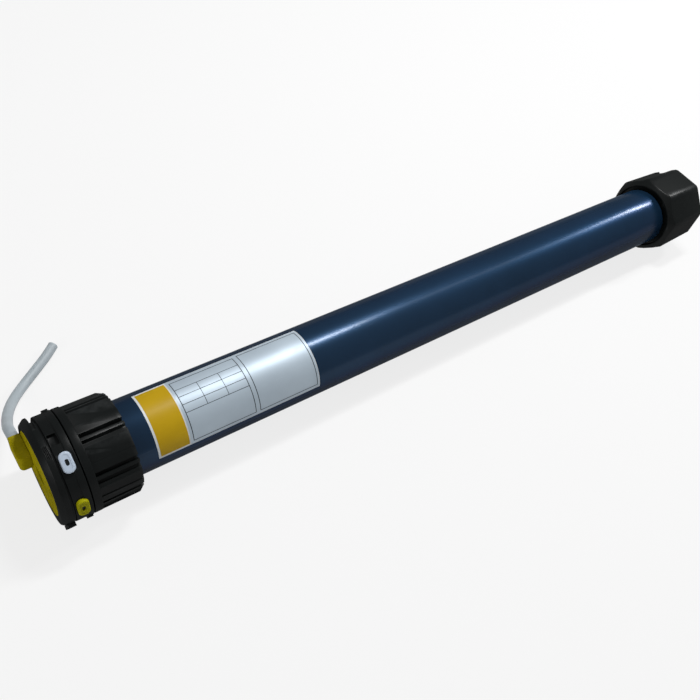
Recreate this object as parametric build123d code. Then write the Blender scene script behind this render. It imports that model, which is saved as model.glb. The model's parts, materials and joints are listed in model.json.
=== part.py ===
from build123d import *
from math import acos, asin, cos, degrees, pi, radians, sin, tan
import os

# Tubular roller blind motor, lying along +X. Millimetres.
# The origin is the centre of the head's outer face on the motor axis, and +Z is up.
# A place round the axis is an angle in degrees from straight up, positive towards the front (-Y).

os.makedirs("parts", exist_ok=True)

# Motor tube
tube_diameter = 47.0
tube_wall = 1.5
tube_start = 24.4
tube_end = 530.2
press_gap = 0.05
stack_gap = 0.3

# Octagonal roller tube that the motor turns, across its flats inside
roller_flats = 58.4
octagon_sides = 8

# Head housing
rim_diameter = 64.8
rim_length = 6.5
rim_chamfer = 2.6
rim_slope = 3.2
rim_notch_angle = -24.0
rim_notch_width = 9.0
rim_notch_depth = 1.0
rim_notch_length = 1.6
rim_pad_angle = 116.0
rim_pad_width = 14.0
rim_pad_rise = 1.2
groove_depth = 0.7
groove_width = 1.1
neck_diameter = 63.0
neck_end = 13.3
collar_rise = 0.5
collar_slope = 0.4
collar_end = 17.5
head_cavity_diameter = 51.0
back_wall = 3.0
spigot_end = 60.0
spigot_wall = 1.5
spigot_lead = 0.7
latch_angle = 2.0
latch_start = 8.2
latch_length = 4.8
latch_width = 7.4
latch_depth = 2.6
grip_angle = 13.0
grip_count = 3
grip_width = 1.1
grip_depth = 0.6

# Face cover, its bracket socket and screw holes
cover_diameter = 54.0
cover_thickness = 2.6
cover_gap = 0.05
cover_chamfer = 0.6
socket_diameter = 12.0
socket_depth = 8.5
socket_wall = 2.2
socket_floor = 1.2
bracket_circle = 43.0
bracket_screws = 4
bracket_screw_angle = 60.7
bracket_hole_diameter = 4.2
bracket_clear_diameter = 5.4
bracket_hole_floor = 1.5
boss_wall = 2.4

# Cable block and supply cable
block_inner = 10.0
block_outer = 27.0
block_height = 12.5
block_stand = 7.0
block_rounding = 2.6
plug_inner = 11.0
plug_length = 10.0
plug_height = 8.0
plug_reach = 14.6
plug_gap = 0.15
cable_diameter = 6.4

# Setting buttons
white_button_angle = 28.5
yellow_button_angle = 82.0
button_centre = 12.0
button_axial = 6.6
button_around = 11.0
button_corner = 3.1
button_cap_height = 2.9
button_stand = 1.1
button_travel = 2.0
button_edge = 0.7
button_gap = 0.2
button_floor_gap = 0.9
button_slot_width = 2.0
button_slot_length = 3.6
button_slot_depth = 1.4
button_stem_diameter = 4.0
button_barb_diameter = 4.7
button_barb_height = 1.6
button_barb_gap = 0.3
spring_wire = 0.4
spring_turns = 2
spring_gap = 0.3

# Crown
crown_gap = 0.6
crown_flange_diameter = 63.4
crown_flange_length = 4.7
crown_end = 47.7
crown_journal_gap = 0.25
crown_lead_length = 2.4
crown_lead_depth = 2.0
crown_strip_rise = 0.45
crown_slot_depth = 3.6
crown_rib_rise = 0.2
crown_band_drop = 0.9
crown_strip_start_share = -0.21
crown_slot_start_share = 0.25
crown_slot_end_share = 0.43
crown_rib_end_share = 0.54
clip_width = 1.2
clip_reach = 1.2
clip_seat = 0.5
clip_gap = 0.3
clip_inset = 3.0
clip_opening = 30.0

# Counting gears that the crown drives, and the limit switches
counting_module = 0.8
crown_teeth = 60
counter_teeth = 20
counter_face = 4.4
cam_module = 0.8
cam_pinion_teeth = 9
cam_teeth = 31
cam_face = 3.0
cam_disc_diameter = 23.0
cam_disc_length = 6.0
cam_notch_width = 3.0
cam_notch_depth = 1.6
cam_notch_angle = 140.0
counter_shaft_diameter = 3.0
cam_axle_diameter = 4.0
pivot_gap = 0.05
side_gap = 0.5
frame_wall = 2.5
frame_gap = 0.3
bridge_width = 11.0
bridge_height = 1.2
switch_width = 12.0
switch_height = 4.2
switch_length = 5.4
switch_stand = 1.4
lever_width = 2.4
lever_thickness = 0.4
lever_gap = 0.3
board_gap = 0.3
board_thickness = 1.6
terminal_length = 8.0
terminal_width = 12.0
terminal_height = 3.5
terminal_place = -9.0
tooth_play = 0.12
addendum_share = 1.0
dedendum_share = 1.2
counting_addendum_share = 0.8
counting_dedendum_share = 1.05
pressure_angle = 20.0

# Screws that hold the head in the tube, under the crown
head_screws = 2
head_screw_place = 35.0
head_screw_angle = 45.0
head_screw_diameter = 3.0
head_screw_head = 5.0
head_screw_sink = 0.25
head_screw_slot = 0.8
head_screw_slot_depth = 0.5

# Capacitor, its cradles and the leads
capacitor_diameter = 35.0
capacitor_length = 78.0
capacitor_start = 70.0
capacitor_chamfer = 1.5
capacitor_tag_width = 6.3
capacitor_tag_thickness = 0.8
capacitor_tag_length = 5.0
capacitor_tag_pitch = 14.0
cradle_length = 7.0
cradle_inset = 10.0
lead_diameter = 1.8
lead_count = 3
lead_spread_angle = 11.0
lead_angle = 180.0
lead_gap = 0.4

# Gearbox
gear_module = 0.9
sun_teeth = 9
planet_teeth = 15
ring_teeth = 39
planets = 3
first_face = 10.0
middle_face = 14.0
output_face = 20.0
first_plate = 4.0
middle_plate = 5.5
output_plate = 8.0
carrier_gap = 0.5
gear_side_gap = 0.6
planet_pin_diameter = 3.0
pinion_nose_diameter = 3.6

# Output end
output_shaft_diameter = 14.0
output_housing_length = 118.0
output_housing_wall = 3.0
output_bush_wall = 2.5
output_bush_length = 14.0
output_bush_inset = 1.0
tube_circlip_width = 1.2
tube_circlip_reach = 2.2
tube_circlip_seat = 0.6
tube_circlip_opening = 40.0
seal_width = 4.0
seal_wall = 3.5

# Motor
stator_length = 90.0
coil_overhang = 14.0
coil_end_depth = 6.0
coil_end_inset = 0.5
stator_slots = 12
slot_width = 3.6
slot_depth = 5.0
slot_lip = 1.2
rotor_diameter = 24.4
air_gap = 0.4
rotor_shaft_diameter = 8.0
rotor_end_ring_length = 5.0
rotor_end_ring_wall = 4.0
bell_thickness = 8.0
bell_rim_wall = 1.6
motor_bush_length = 6.0
motor_bush_wall = 3.5

# Brake
brake_cup_length = 30.0
brake_cup_wall = 1.8
brake_floor = 4.0
lining_thickness = 3.0
lining_inner_diameter = 22.0
brake_disc_gap = 0.6
brake_disc_thickness = 4.5
brake_hub_diameter = 15.0
brake_hub_length = 9.0
brake_air = 0.15
brake_washer_thickness = 0.8
brake_stop_width = 2.0
brake_stop_wall = 3.0
shaft_flat_depth = 1.0

# Drive wheel
wheel_gap = 0.8
wheel_length = 45.0
wheel_near_diameter = 65.0
wheel_far_diameter = 61.8
wheel_corner_flat = 2.4
wheel_lead_diameter = 55.6
wheel_lead_length = 5.0
wheel_wall = 2.6
wheel_web = 5.0
wheel_hub_diameter = 23.0
wheel_hub_length = 36.0
wheel_rib = 2.0
wheel_rib_inset = 4.0
wheel_notch_angle = -45.0
wheel_notch_length = 11.0
wheel_notch_width = 12.0
wheel_notch_depth = 2.2
wheel_end_diameter = 12.0
wheel_flat_depth = 1.5
circlip_thickness = 1.2
circlip_seat = 0.8
circlip_reach = 2.0
circlip_gap = 0.2
circlip_opening = 50.0
shaft_tail = 2.5

# Rating label
label_start = 60.0
label_length = 111.4
label_from_angle = -31.2
label_to_angle = 81.4
label_thickness = 0.12
label_gap = 0.04

# One overrun serves every cut
overrun = 1.0

# The supply cable's route, from the cable block down to the table
cable_route = [
    (-3.5, 27.0, 0.0), (-3.5, 32.0, 0.0), (-3.6, 37.2, -2.0), (-3.0, 42.6, -6.6),
    (-0.6, 52.9, -13.6), (4.0, 64.2, -21.0), (9.6, 73.3, -26.2), (16.9, 80.9, -28.8),
    (24.8, 86.9, -29.0), (32.8, 92.9, -29.0), (39.7, 98.3, -29.0), (45.6, 103.8, -29.0),
]

# Radii that follow
tube_radius = tube_diameter / 2
tube_bore = tube_radius - tube_wall
fit_radius = tube_bore - press_gap
half_side = 180 / octagon_sides
rim_radius = rim_diameter / 2
neck_radius = neck_diameter / 2
collar_radius = neck_radius + collar_rise
cavity_radius = head_cavity_diameter / 2
spigot_bore = fit_radius - spigot_wall
cover_radius = cover_diameter / 2
socket_radius = socket_diameter / 2
cap_top = neck_radius + button_stand
cap_base = cap_top - button_cap_height
pocket_floor = cap_base - button_travel - button_floor_gap
crown_apothem = roller_flats / 2
crown_half_flat = crown_apothem * tan(radians(half_side))
crown_bore = tube_radius + crown_journal_gap
counter_offset = counting_module * (crown_teeth - counter_teeth) / 2
counter_place = (0, -counter_offset)
counter_shaft_radius = counter_shaft_diameter / 2
cam_axle_radius = cam_axle_diameter / 2
cam_disc_radius = cam_disc_diameter / 2
capacitor_radius = capacitor_diameter / 2
planet_offset = gear_module * (sun_teeth + planet_teeth) / 2
carrier_radius = gear_module * (ring_teeth / 2 - addendum_share) - carrier_gap
planet_pin_radius = planet_pin_diameter / 2
shaft_radius = rotor_shaft_diameter / 2
rotor_radius = rotor_diameter / 2
stator_bore = rotor_radius + air_gap
output_radius = output_shaft_diameter / 2
wheel_end_radius = wheel_end_diameter / 2
lead_offset = spigot_bore - lead_diameter / 2 - stack_gap

# Places along the axis at the head
cavity_end = collar_end - back_wall
crown_start = collar_end + crown_gap
counter_start = tube_start - side_gap - counter_face
clip_start = crown_end - clip_inset - clip_width
frame_start = tube_start + side_gap
up_gear_start = frame_start + frame_wall + side_gap
up_disc_start = up_gear_start + cam_face
down_disc_start = up_disc_start + cam_disc_length + side_gap
down_gear_start = down_disc_start + cam_disc_length
cams_end = down_gear_start + cam_face
frame_back = cams_end + side_gap
frame_end = frame_back + frame_wall

# Places along the axis from the output end back to the brake
tube_circlip_start = tube_end - 2 * tube_circlip_width
housing_start = tube_circlip_start - output_housing_length
ring_end = housing_start - stack_gap
output_plate_start = ring_end - gear_side_gap - output_plate
output_start = output_plate_start - gear_side_gap - output_face
middle_plate_start = output_start - gear_side_gap - middle_plate
middle_start = middle_plate_start - gear_side_gap - middle_face
first_plate_start = middle_start - gear_side_gap - first_plate
first_start = first_plate_start - gear_side_gap - first_face
ring_start = first_start - gear_side_gap
front_floor = ring_start - stack_gap - bell_thickness
stator_end = front_floor - side_gap - coil_overhang
stator_start = stator_end - stator_length
rear_floor = stator_start - side_gap - coil_overhang
rear_bell_start = rear_floor - bell_thickness
cup_start = rear_bell_start - stack_gap - brake_cup_length
lining_start = cup_start + brake_floor
brake_disc_start = lining_start + lining_thickness + brake_air
brake_hub_end = brake_disc_start + brake_disc_thickness + brake_hub_length
brake_stop_end = rear_bell_start - side_gap
brake_stop_start = brake_stop_end - brake_stop_width
wheel_start = tube_end + wheel_gap


def around(radius, angle):
    return (-radius * sin(radians(angle)), radius * cos(radians(angle)))


def slab(start, end, outline):
    return extrude(Plane.YZ.offset(start) * outline, amount=end - start)


def rod(start, end, radius, place=(0, 0)):
    return slab(start, end, Pos(*place) * Circle(radius))


def ring(start, end, inner, outer):
    return slab(start, end, Circle(outer) - Circle(inner))


def turned(points):
    return revolve(make_face(Polyline(*points, close=True)), Axis.X, 360)


def radial(angle, solid):
    return Rot(X=angle) * solid


def gear_outline(teeth, module, shares, first_tooth=90.0, play=tooth_play, mid_flank=True):
    # Involute teeth, each flank drawn as straight facets from root to tip
    pitch = teeth * module / 2
    base = pitch * cos(radians(pressure_angle))
    addendum, dedendum = shares

    def involute(radius):
        roll = acos(min(1, base / radius))
        return tan(roll) - roll

    def half_tooth(radius):
        return (pi / teeth - play / pitch) / 2 + involute(pitch) - involute(max(radius, base))

    flank = [pitch - dedendum * module, pitch, pitch + addendum * module]
    if not mid_flank:
        flank.pop(1)
    sides = [(r, -1) for r in flank] + [(r, 1) for r in reversed(flank)]
    points = []
    for tooth in range(teeth):
        middle = radians(first_tooth) + 2 * pi * tooth / teeth
        for radius, side in sides:
            angle = middle + side * half_tooth(radius)
            points.append((radius * cos(angle), radius * sin(angle)))
    return Polygon(*points, align=None)


def outer_gear(teeth, first_tooth=90.0):
    return gear_outline(teeth, gear_module, (addendum_share, dedendum_share), first_tooth)


def counting_gear(teeth, module, first_tooth=90.0):
    shares = (counting_addendum_share, counting_dedendum_share)
    return gear_outline(teeth, module, shares, first_tooth, mid_flank=False)


def flatted(radius, flat_depth):
    return Circle(radius) - Pos(0, 2 * radius - flat_depth) * Rectangle(2 * radius, 2 * radius)


def split_ring(start, end, inner, outer, opening, angle):
    # A ring with a gap, as a snap ring has
    solid = ring(start, end, inner, outer)
    reach = 2 * outer
    side = reach * tan(radians(opening / 2))
    wedge = Polygon((0, 0), (side, reach), (-side, reach), align=None)
    return solid - radial(angle, slab(start - overrun, end + overrun, wedge))


def head_housing():
    body = turned([
        (0, cover_radius),
        (0, rim_radius - rim_chamfer),
        (rim_slope, rim_radius),
        (rim_length, rim_radius),
        (rim_length, neck_radius - groove_depth),
        (rim_length + groove_width, neck_radius - groove_depth),
        (rim_length + groove_width, neck_radius),
        (neck_end, neck_radius),
        (neck_end + collar_slope, collar_radius),
        (collar_end, collar_radius),
        (collar_end, fit_radius),
        (spigot_end - spigot_lead, fit_radius),
        (spigot_end, fit_radius - spigot_lead),
        (spigot_end, spigot_bore),
        (cavity_end, spigot_bore),
        (cavity_end, cavity_radius),
        (cover_thickness, cavity_radius),
        (cover_thickness, cover_radius),
    ])
    for index in range(bracket_screws):
        place = around(bracket_circle / 2, bracket_screw_angle + 360 * index / bracket_screws)
        boss_radius = bracket_hole_diameter / 2 + boss_wall
        body += rod(cover_thickness, cavity_end, boss_radius, place)
        hole_end = cavity_end - bracket_hole_floor
        body -= rod(cover_thickness - overrun, hole_end, bracket_hole_diameter / 2, place)
    for angle in (white_button_angle, yellow_button_angle):
        body -= radial(angle, button_well())
    body -= latch_and_grips()
    notch = Box(rim_notch_length, rim_notch_width, 2 * rim_notch_depth)
    notch_place = Pos((rim_slope + rim_length) / 2, 0, rim_radius)
    body -= radial(rim_notch_angle, notch_place * notch)
    pad_length = rim_length - rim_slope / 2
    pad = Box(pad_length, rim_pad_width, 2 * rim_pad_rise)
    body += radial(rim_pad_angle, Pos(rim_length - pad_length / 2, 0, rim_radius) * pad)
    counter_room = counting_module * (counter_teeth / 2 + counting_addendum_share) + side_gap
    body -= rod(counter_start - side_gap, tube_start, counter_room, counter_place)
    for index in range(head_screws):
        angle = head_screw_angle + 360 * index / head_screws
        shank = Cylinder(head_screw_diameter / 2, 2 * fit_radius)
        body -= radial(angle, Pos(head_screw_place, 0, fit_radius + spigot_bore / 2) * shank)
    return body


def button_well():
    pocket = Plane.XY.offset(pocket_floor) * Pos(button_centre, 0) * RectangleRounded(
        button_axial + 2 * button_gap, button_around + 2 * button_gap, button_corner)
    well = extrude(pocket, amount=cap_top - pocket_floor)
    stem_radius = button_stem_diameter / 2 + pivot_gap
    stem_hole = Plane.XY.offset(spigot_bore) * Pos(button_centre, 0) * Circle(stem_radius)
    return well + extrude(stem_hole, amount=cap_top - spigot_bore)


def latch_and_grips():
    # The latch window beside the white button, and the short grips in front of it
    window = Box(latch_length, latch_width, 2 * latch_depth)
    cuts = radial(latch_angle, Pos(latch_start + latch_length / 2, 0, neck_radius) * window)
    grip = Box(grip_width, latch_width, 2 * grip_depth)
    for index in range(grip_count):
        place = (index + 1) * rim_slope / (grip_count + 1) + rim_slope
        cuts += radial(grip_angle, Pos(place, 0, rim_radius) * grip)
    return cuts


def button(angle):
    cap_outline = RectangleRounded(button_axial, button_around, button_corner)
    cap = extrude(Plane.XY.offset(cap_base) * Pos(button_centre, 0) * cap_outline,
                  amount=button_cap_height)
    cap = chamfer(cap.faces().sort_by(Axis.Z)[-1].edges(), button_edge)
    slot = Plane.XY.offset(cap_top - button_slot_depth) * Pos(button_centre, 0) * SlotOverall(
        button_slot_length, button_slot_width, rotation=90)
    cap -= extrude(slot, amount=button_slot_depth + overrun)
    barb_top = cavity_radius - button_barb_gap
    stem = Pos(button_centre, 0) * Circle(button_stem_diameter / 2)
    solid = cap + extrude(Plane.XY.offset(barb_top) * stem, amount=cap_base - barb_top)
    barb = Pos(button_centre, 0) * Circle(button_barb_diameter / 2)
    solid += extrude(Plane.XY.offset(barb_top - button_barb_height) * barb, amount=button_barb_height)
    return radial(angle, solid)


def button_spring(angle):
    # Turns of square wire round the stem, between the well's floor and the cap
    free_height = cap_base - pocket_floor - 2 * spring_wire
    turn_radius = button_stem_diameter / 2 + pivot_gap + spring_gap + spring_wire / 2
    path = Helix(free_height / spring_turns, free_height, turn_radius)
    wire = Plane(origin=path @ 0, z_dir=path % 0) * Rectangle(spring_wire, spring_wire)
    coil = sweep(wire, path=path, is_frenet=True)
    return radial(angle, Pos(button_centre, 0, pocket_floor + spring_wire) * coil)


def face_cover():
    plate_radius = cover_radius - cover_gap
    wall_radius = socket_radius + socket_wall
    body = turned([
        (0, socket_radius),
        (0, plate_radius - cover_chamfer),
        (cover_chamfer, plate_radius),
        (cover_thickness, plate_radius),
        (cover_thickness, wall_radius),
        (socket_depth + socket_floor, wall_radius),
        (socket_depth + socket_floor, 0),
        (socket_depth, 0),
        (socket_depth, socket_radius),
    ])
    for index in range(bracket_screws):
        place = around(bracket_circle / 2, bracket_screw_angle + 360 * index / bracket_screws)
        body -= rod(-overrun, cover_thickness + overrun, bracket_clear_diameter / 2, place)
    opening = Rectangle(plug_length + 2 * plug_gap, plug_height + 2 * plug_gap)
    opening = Pos(plug_inner + plug_length / 2, 0) * opening
    return body - slab(-overrun, cover_thickness + overrun, opening)


def cable_block():
    length = block_outer - block_inner
    block = Pos(block_inner + length / 2, 0) * Rectangle(length, block_height)
    body = slab(-block_stand, 0, block)
    inner_corners = body.edges().filter_by(Axis.Z).sort_by(Axis.X)[:2]
    body = fillet(inner_corners.sort_by(Axis.Y)[:1], block_rounding)
    plug = Pos(plug_inner + plug_length / 2, 0) * Rectangle(plug_length, plug_height)
    return body + slab(0, plug_reach, plug)


def corner_radii(points):
    # Each arc is as large as its two runs allow
    radii = []
    for before, here, after in zip(points, points[1:], points[2:]):
        first = Vector(*here) - Vector(*before)
        second = Vector(*after) - Vector(*here)
        turn = first.get_angle(second)
        radii.append(0.45 * min(first.length, second.length) / tan(radians(turn / 2)))
    return radii


def supply_cable():
    radii = corner_radii(cable_route)
    path = FilletPolyline(*cable_route, radius=radii)
    section = Plane(origin=path @ 0, z_dir=path % 0) * Circle(cable_diameter / 2)
    solid = sweep(section, path=path)
    expected = pi * cable_diameter ** 2 / 4 * path.length
    print("cable radii", [round(r, 1) for r in radii])
    print("cable length", round(path.length, 1), "volume over section x length",
          round(solid.volume / expected, 4))
    return solid


def motor_tube():
    body = ring(tube_start, tube_end, tube_bore, tube_radius)
    body -= ring(clip_start, clip_start + clip_width, tube_radius - clip_seat, tube_radius + overrun)
    body -= ring(tube_circlip_start, tube_circlip_start + tube_circlip_width,
                 tube_bore - overrun, tube_bore + tube_circlip_seat)
    for index in range(head_screws):
        angle = head_screw_angle + 360 * index / head_screws
        hole = Cylinder(head_screw_head / 2, 2 * tube_wall)
        body -= radial(angle, Pos(head_screw_place, 0, tube_radius - tube_wall / 2) * hole)
    return body


def head_screw_set():
    screws = []
    top = tube_radius - head_screw_sink
    for index in range(head_screws):
        head = extrude(Plane.XY.offset(fit_radius) * Circle(head_screw_head / 2),
                       amount=top - fit_radius)
        shank = extrude(Plane.XY.offset(spigot_bore) * Circle(head_screw_diameter / 2),
                        amount=fit_radius - spigot_bore)
        slot = Pos(0, 0, top) * Box(head_screw_head, head_screw_slot, 2 * head_screw_slot_depth)
        angle = head_screw_angle + 360 * index / head_screws
        screws.append(radial(angle, Pos(head_screw_place, 0, 0) * (head + shank - slot)))
    return Compound(screws)


def rating_label():
    strip = make_face(Polyline(
        (label_start, tube_radius + label_gap),
        (label_start + label_length, tube_radius + label_gap),
        (label_start + label_length, tube_radius + label_gap + label_thickness),
        (label_start, tube_radius + label_gap + label_thickness),
        close=True,
    ))
    # The sweep begins at the back (+Y), a quarter turn before the top
    return radial(label_from_angle + 90, revolve(strip, Axis.X, label_to_angle - label_from_angle))


def crown():
    flat = [
        (-1, 0),
        (crown_strip_start_share, 0),
        (crown_strip_start_share, crown_strip_rise),
        (crown_slot_start_share, crown_strip_rise),
        (crown_slot_start_share, -crown_slot_depth),
        (crown_slot_end_share, -crown_slot_depth),
        (crown_slot_end_share, crown_rib_rise),
        (crown_rib_end_share, crown_rib_rise),
        (crown_rib_end_share, -crown_band_drop),
    ]
    points = []
    for side in range(octagon_sides):
        turn = radians(90 + 2 * half_side * side)
        for share, rise in flat:
            height, along = crown_apothem + rise, crown_half_flat * share
            points.append((height * cos(turn) - along * sin(turn),
                           height * sin(turn) + along * cos(turn)))
        corner = turn + radians(half_side)
        reach = (crown_apothem - crown_band_drop) / cos(radians(half_side))
        points.append((reach * cos(corner), reach * sin(corner)))
    flange_end = crown_start + crown_flange_length
    body = slab(flange_end - overrun, crown_end, Polygon(*points, align=None))
    corner_radius = crown_apothem / cos(radians(half_side))
    body &= turned([
        (crown_start, 0),
        (crown_start, corner_radius + overrun),
        (crown_end - crown_lead_length, corner_radius + overrun),
        (crown_end - crown_lead_length, corner_radius),
        (crown_end, corner_radius - crown_lead_depth),
        (crown_end, 0),
    ])
    body += rod(crown_start, flange_end, crown_flange_diameter / 2)
    shares = (counting_dedendum_share, counting_addendum_share)
    teeth = gear_outline(crown_teeth, counting_module, shares, play=-tooth_play, mid_flank=False)
    body -= slab(crown_start - overrun, tube_start, teeth)
    body -= rod(tube_start - pivot_gap, crown_end + overrun, crown_bore)
    clip_room = tube_radius + clip_reach + clip_gap
    return body - rod(clip_start - clip_gap, clip_start + clip_width + clip_gap, clip_room)


def crown_clip():
    return split_ring(clip_start, clip_start + clip_width, tube_radius - clip_seat,
                      tube_radius + clip_reach, clip_opening, 180)


def limit_frame():
    walls = []
    for start in (frame_start, frame_back):
        wall = ring(start, start + frame_wall, cam_axle_radius, spigot_bore - frame_gap)
        hole = counter_shaft_radius + pivot_gap
        walls.append(wall - rod(start - overrun, start + frame_wall + overrun, hole, counter_place))
    bridge_base = cam_disc_radius + lever_gap + lever_thickness + switch_stand + switch_height
    bridge = Pos(0, bridge_base + bridge_height / 2) * Rectangle(bridge_width, bridge_height)
    return walls[0] + walls[1] + slab(frame_start, frame_end, bridge)


def cam_axle():
    return rod(frame_start, frame_end, cam_axle_radius)


def disc_middles():
    return [up_disc_start + cam_disc_length / 2, down_disc_start + cam_disc_length / 2]


def limit_switches():
    base = cam_disc_radius + lever_gap + lever_thickness + switch_stand
    outline = Pos(0, base + switch_height / 2) * Rectangle(switch_width, switch_height)
    half = switch_length / 2
    return Compound([slab(middle - half, middle + half, outline) for middle in disc_middles()])


def switch_levers():
    low = cam_disc_radius + lever_gap
    top = low + lever_thickness + switch_stand
    end = switch_width / 2 - lever_thickness
    outline = Polygon(
        (-end, top),
        (-end, low),
        (end / 2, low),
        (end / 2, low + lever_thickness),
        (lever_thickness - end, low + lever_thickness),
        (lever_thickness - end, top),
        align=None,
    )
    half = lever_width / 2
    return Compound([slab(middle - half, middle + half, outline) for middle in disc_middles()])


def counter_gear():
    return slab(counter_start, counter_start + counter_face,
                Pos(*counter_place) * (counting_gear(counter_teeth, counting_module)
                                       - Circle(counter_shaft_radius)))


def counter_shaft():
    solid = rod(counter_start, frame_end, counter_shaft_radius, counter_place)
    pinion = Pos(*counter_place) * counting_gear(cam_pinion_teeth, cam_module)
    solid += slab(up_gear_start, up_gear_start + cam_face, pinion)
    return solid + slab(down_gear_start, down_gear_start + cam_face, pinion)


def limit_cam(gear_start, disc_start):
    bore = Circle(cam_axle_radius + pivot_gap)
    # A gap of the teeth faces the counter shaft below
    teeth = counting_gear(cam_teeth, cam_module, 180 / cam_teeth - 90)
    solid = slab(gear_start, gear_start + cam_face, teeth - bore)
    notch = Pos(0, cam_disc_radius) * Rectangle(cam_notch_width, 2 * cam_notch_depth)
    disc = Circle(cam_disc_radius) - Rot(Z=cam_notch_angle) * notch - bore
    return solid + slab(disc_start, disc_start + cam_disc_length, disc)


def terminal_board():
    start = cavity_end + (back_wall - board_thickness) / 2
    return rod(start, start + board_thickness, spigot_bore - board_gap)


def terminal_block():
    end = cavity_end + (back_wall - board_thickness) / 2
    outline = Pos(0, terminal_place) * Rectangle(terminal_width, terminal_length)
    block = slab(end - terminal_height, end, outline)
    for side in (-1, 1):
        place = (side * terminal_width / 4, terminal_place)
        mouth = end - terminal_height - overrun
        block -= rod(mouth, end - terminal_height / 2, terminal_length / 5, place)
    return block


def capacitor():
    can = rod(capacitor_start, capacitor_start + capacitor_length, capacitor_radius)
    can = chamfer(can.edges().sort_by(Axis.X)[-1:], capacitor_chamfer)
    for side in (-1, 1):
        tag = Rectangle(capacitor_tag_thickness, capacitor_tag_width)
        tag = Pos(side * capacitor_tag_pitch / 2, 0) * tag
        can += slab(capacitor_start - capacitor_tag_length, capacitor_start, tag)
    return can


def lead_angles():
    middle = (lead_count - 1) / 2
    return [lead_angle + (index - middle) * lead_spread_angle for index in range(lead_count)]


def capacitor_cradles():
    # Each strip of foam is open where the leads pass
    last = capacitor_start + capacitor_length - cradle_inset - cradle_length
    beside = degrees(asin((lead_diameter / 2 + lead_gap) / lead_offset))
    opening = (lead_count - 1) * lead_spread_angle + 2 * beside
    return Compound([split_ring(start, start + cradle_length, capacitor_radius, tube_bore, opening,
                                lead_angle) for start in (capacitor_start + cradle_inset, last)])


def motor_leads():
    start = frame_end + stack_gap
    end = cup_start - stack_gap
    return Compound([rod(start, end, lead_diameter / 2, around(lead_offset, angle))
                     for angle in lead_angles()])


def brake_cup():
    inner = fit_radius - brake_cup_wall
    end = rear_bell_start - stack_gap
    return turned([
        (cup_start, 0),
        (cup_start, fit_radius),
        (end, fit_radius),
        (end, inner),
        (lining_start, inner),
        (lining_start, 0),
    ])


def brake_lining():
    outer = fit_radius - brake_cup_wall - brake_disc_gap
    return ring(lining_start, lining_start + lining_thickness, lining_inner_diameter / 2, outer)


def brake_disc():
    outer = fit_radius - brake_cup_wall - brake_disc_gap
    bore = flatted(shaft_radius + pivot_gap, shaft_flat_depth)
    plate_end = brake_disc_start + brake_disc_thickness
    plate = slab(brake_disc_start, plate_end, Circle(outer) - bore)
    return plate + slab(plate_end, brake_hub_end, Circle(brake_hub_diameter / 2) - bore)


def brake_washers():
    # Two dished spring washers, back to back, between the disc's hub and the stop ring
    space = brake_stop_start - brake_hub_end
    rise = space / 2 - brake_washer_thickness
    inner, outer = shaft_radius + spring_gap, brake_hub_diameter / 2
    middle = brake_hub_end + space / 2
    washers = []
    for side in (-1, 1):
        washers.append(turned([
            (middle, outer),
            (middle + side * brake_washer_thickness, outer),
            (middle + side * (brake_washer_thickness + rise), inner),
            (middle + side * rise, inner),
        ]))
    return Compound(washers)


def bell(floor_start, rim_start, rim_end):
    # An end shield: a floor with the bush's seat, and a rim that stands on the stator
    seat = shaft_radius + pivot_gap + motor_bush_wall
    floor = ring(floor_start, floor_start + bell_thickness, seat, fit_radius)
    return floor + ring(rim_start, rim_end, fit_radius - bell_rim_wall, fit_radius)


def motor_bush(floor_start):
    start = floor_start + (bell_thickness - motor_bush_length) / 2
    inner = shaft_radius + pivot_gap
    return ring(start, start + motor_bush_length, inner, inner + motor_bush_wall)


def stator_core():
    section = Circle(fit_radius) - Circle(stator_bore)
    slot_start = stator_bore + slot_lip
    for index in range(stator_slots):
        slot = Pos(0, slot_start + slot_depth / 2) * Rectangle(slot_width, slot_depth)
        section -= Rot(Z=360 * index / stator_slots) * slot
    return slab(stator_start, stator_end, section)


def stator_winding():
    # The coils fill the slots and turn round in a ring at each end
    inner = stator_bore + slot_lip
    end_inner = inner + coil_end_inset
    solid = ring(stator_start - coil_overhang, stator_start, end_inner, inner + coil_end_depth)
    solid += ring(stator_end, stator_end + coil_overhang, end_inner, inner + coil_end_depth)
    for index in range(stator_slots):
        slot = Pos(0, inner + slot_depth / 2) * Rectangle(slot_width, slot_depth)
        solid += slab(stator_start, stator_end, Rot(Z=360 * index / stator_slots) * slot)
    return solid


def rotor_core():
    solid = ring(stator_start, stator_end, shaft_radius, rotor_radius)
    end_outer = rotor_radius - side_gap
    end_inner = end_outer - rotor_end_ring_wall
    for start in (stator_start - rotor_end_ring_length, stator_end):
        solid += ring(start, start + rotor_end_ring_length, end_inner, end_outer)
    return solid


def rotor_shaft():
    nose_start = first_start - gear_side_gap / 2
    pinion_end = first_plate_start - gear_side_gap / 2
    body = rod(lining_start + stack_gap, nose_start, shaft_radius)
    flat_zone = slab(lining_start, brake_stop_start, Circle(2 * shaft_radius) - flatted(
        shaft_radius, shaft_flat_depth + pivot_gap))
    body += rod(brake_stop_start, brake_stop_end, shaft_radius + brake_stop_wall)
    return body - flat_zone + rod(nose_start, pinion_end, pinion_nose_diameter / 2)


def motor_pinion():
    outline = outer_gear(sun_teeth) - Circle(pinion_nose_diameter / 2)
    return slab(first_start - gear_side_gap / 2, first_plate_start - gear_side_gap / 2, outline)


def ring_gear():
    shares = (dedendum_share, addendum_share)
    teeth = gear_outline(ring_teeth, gear_module, shares, play=-tooth_play)
    return slab(ring_start, ring_end, Circle(fit_radius) - teeth)


def planet_places():
    return [around(planet_offset, 360 * index / planets) for index in range(planets)]


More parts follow.
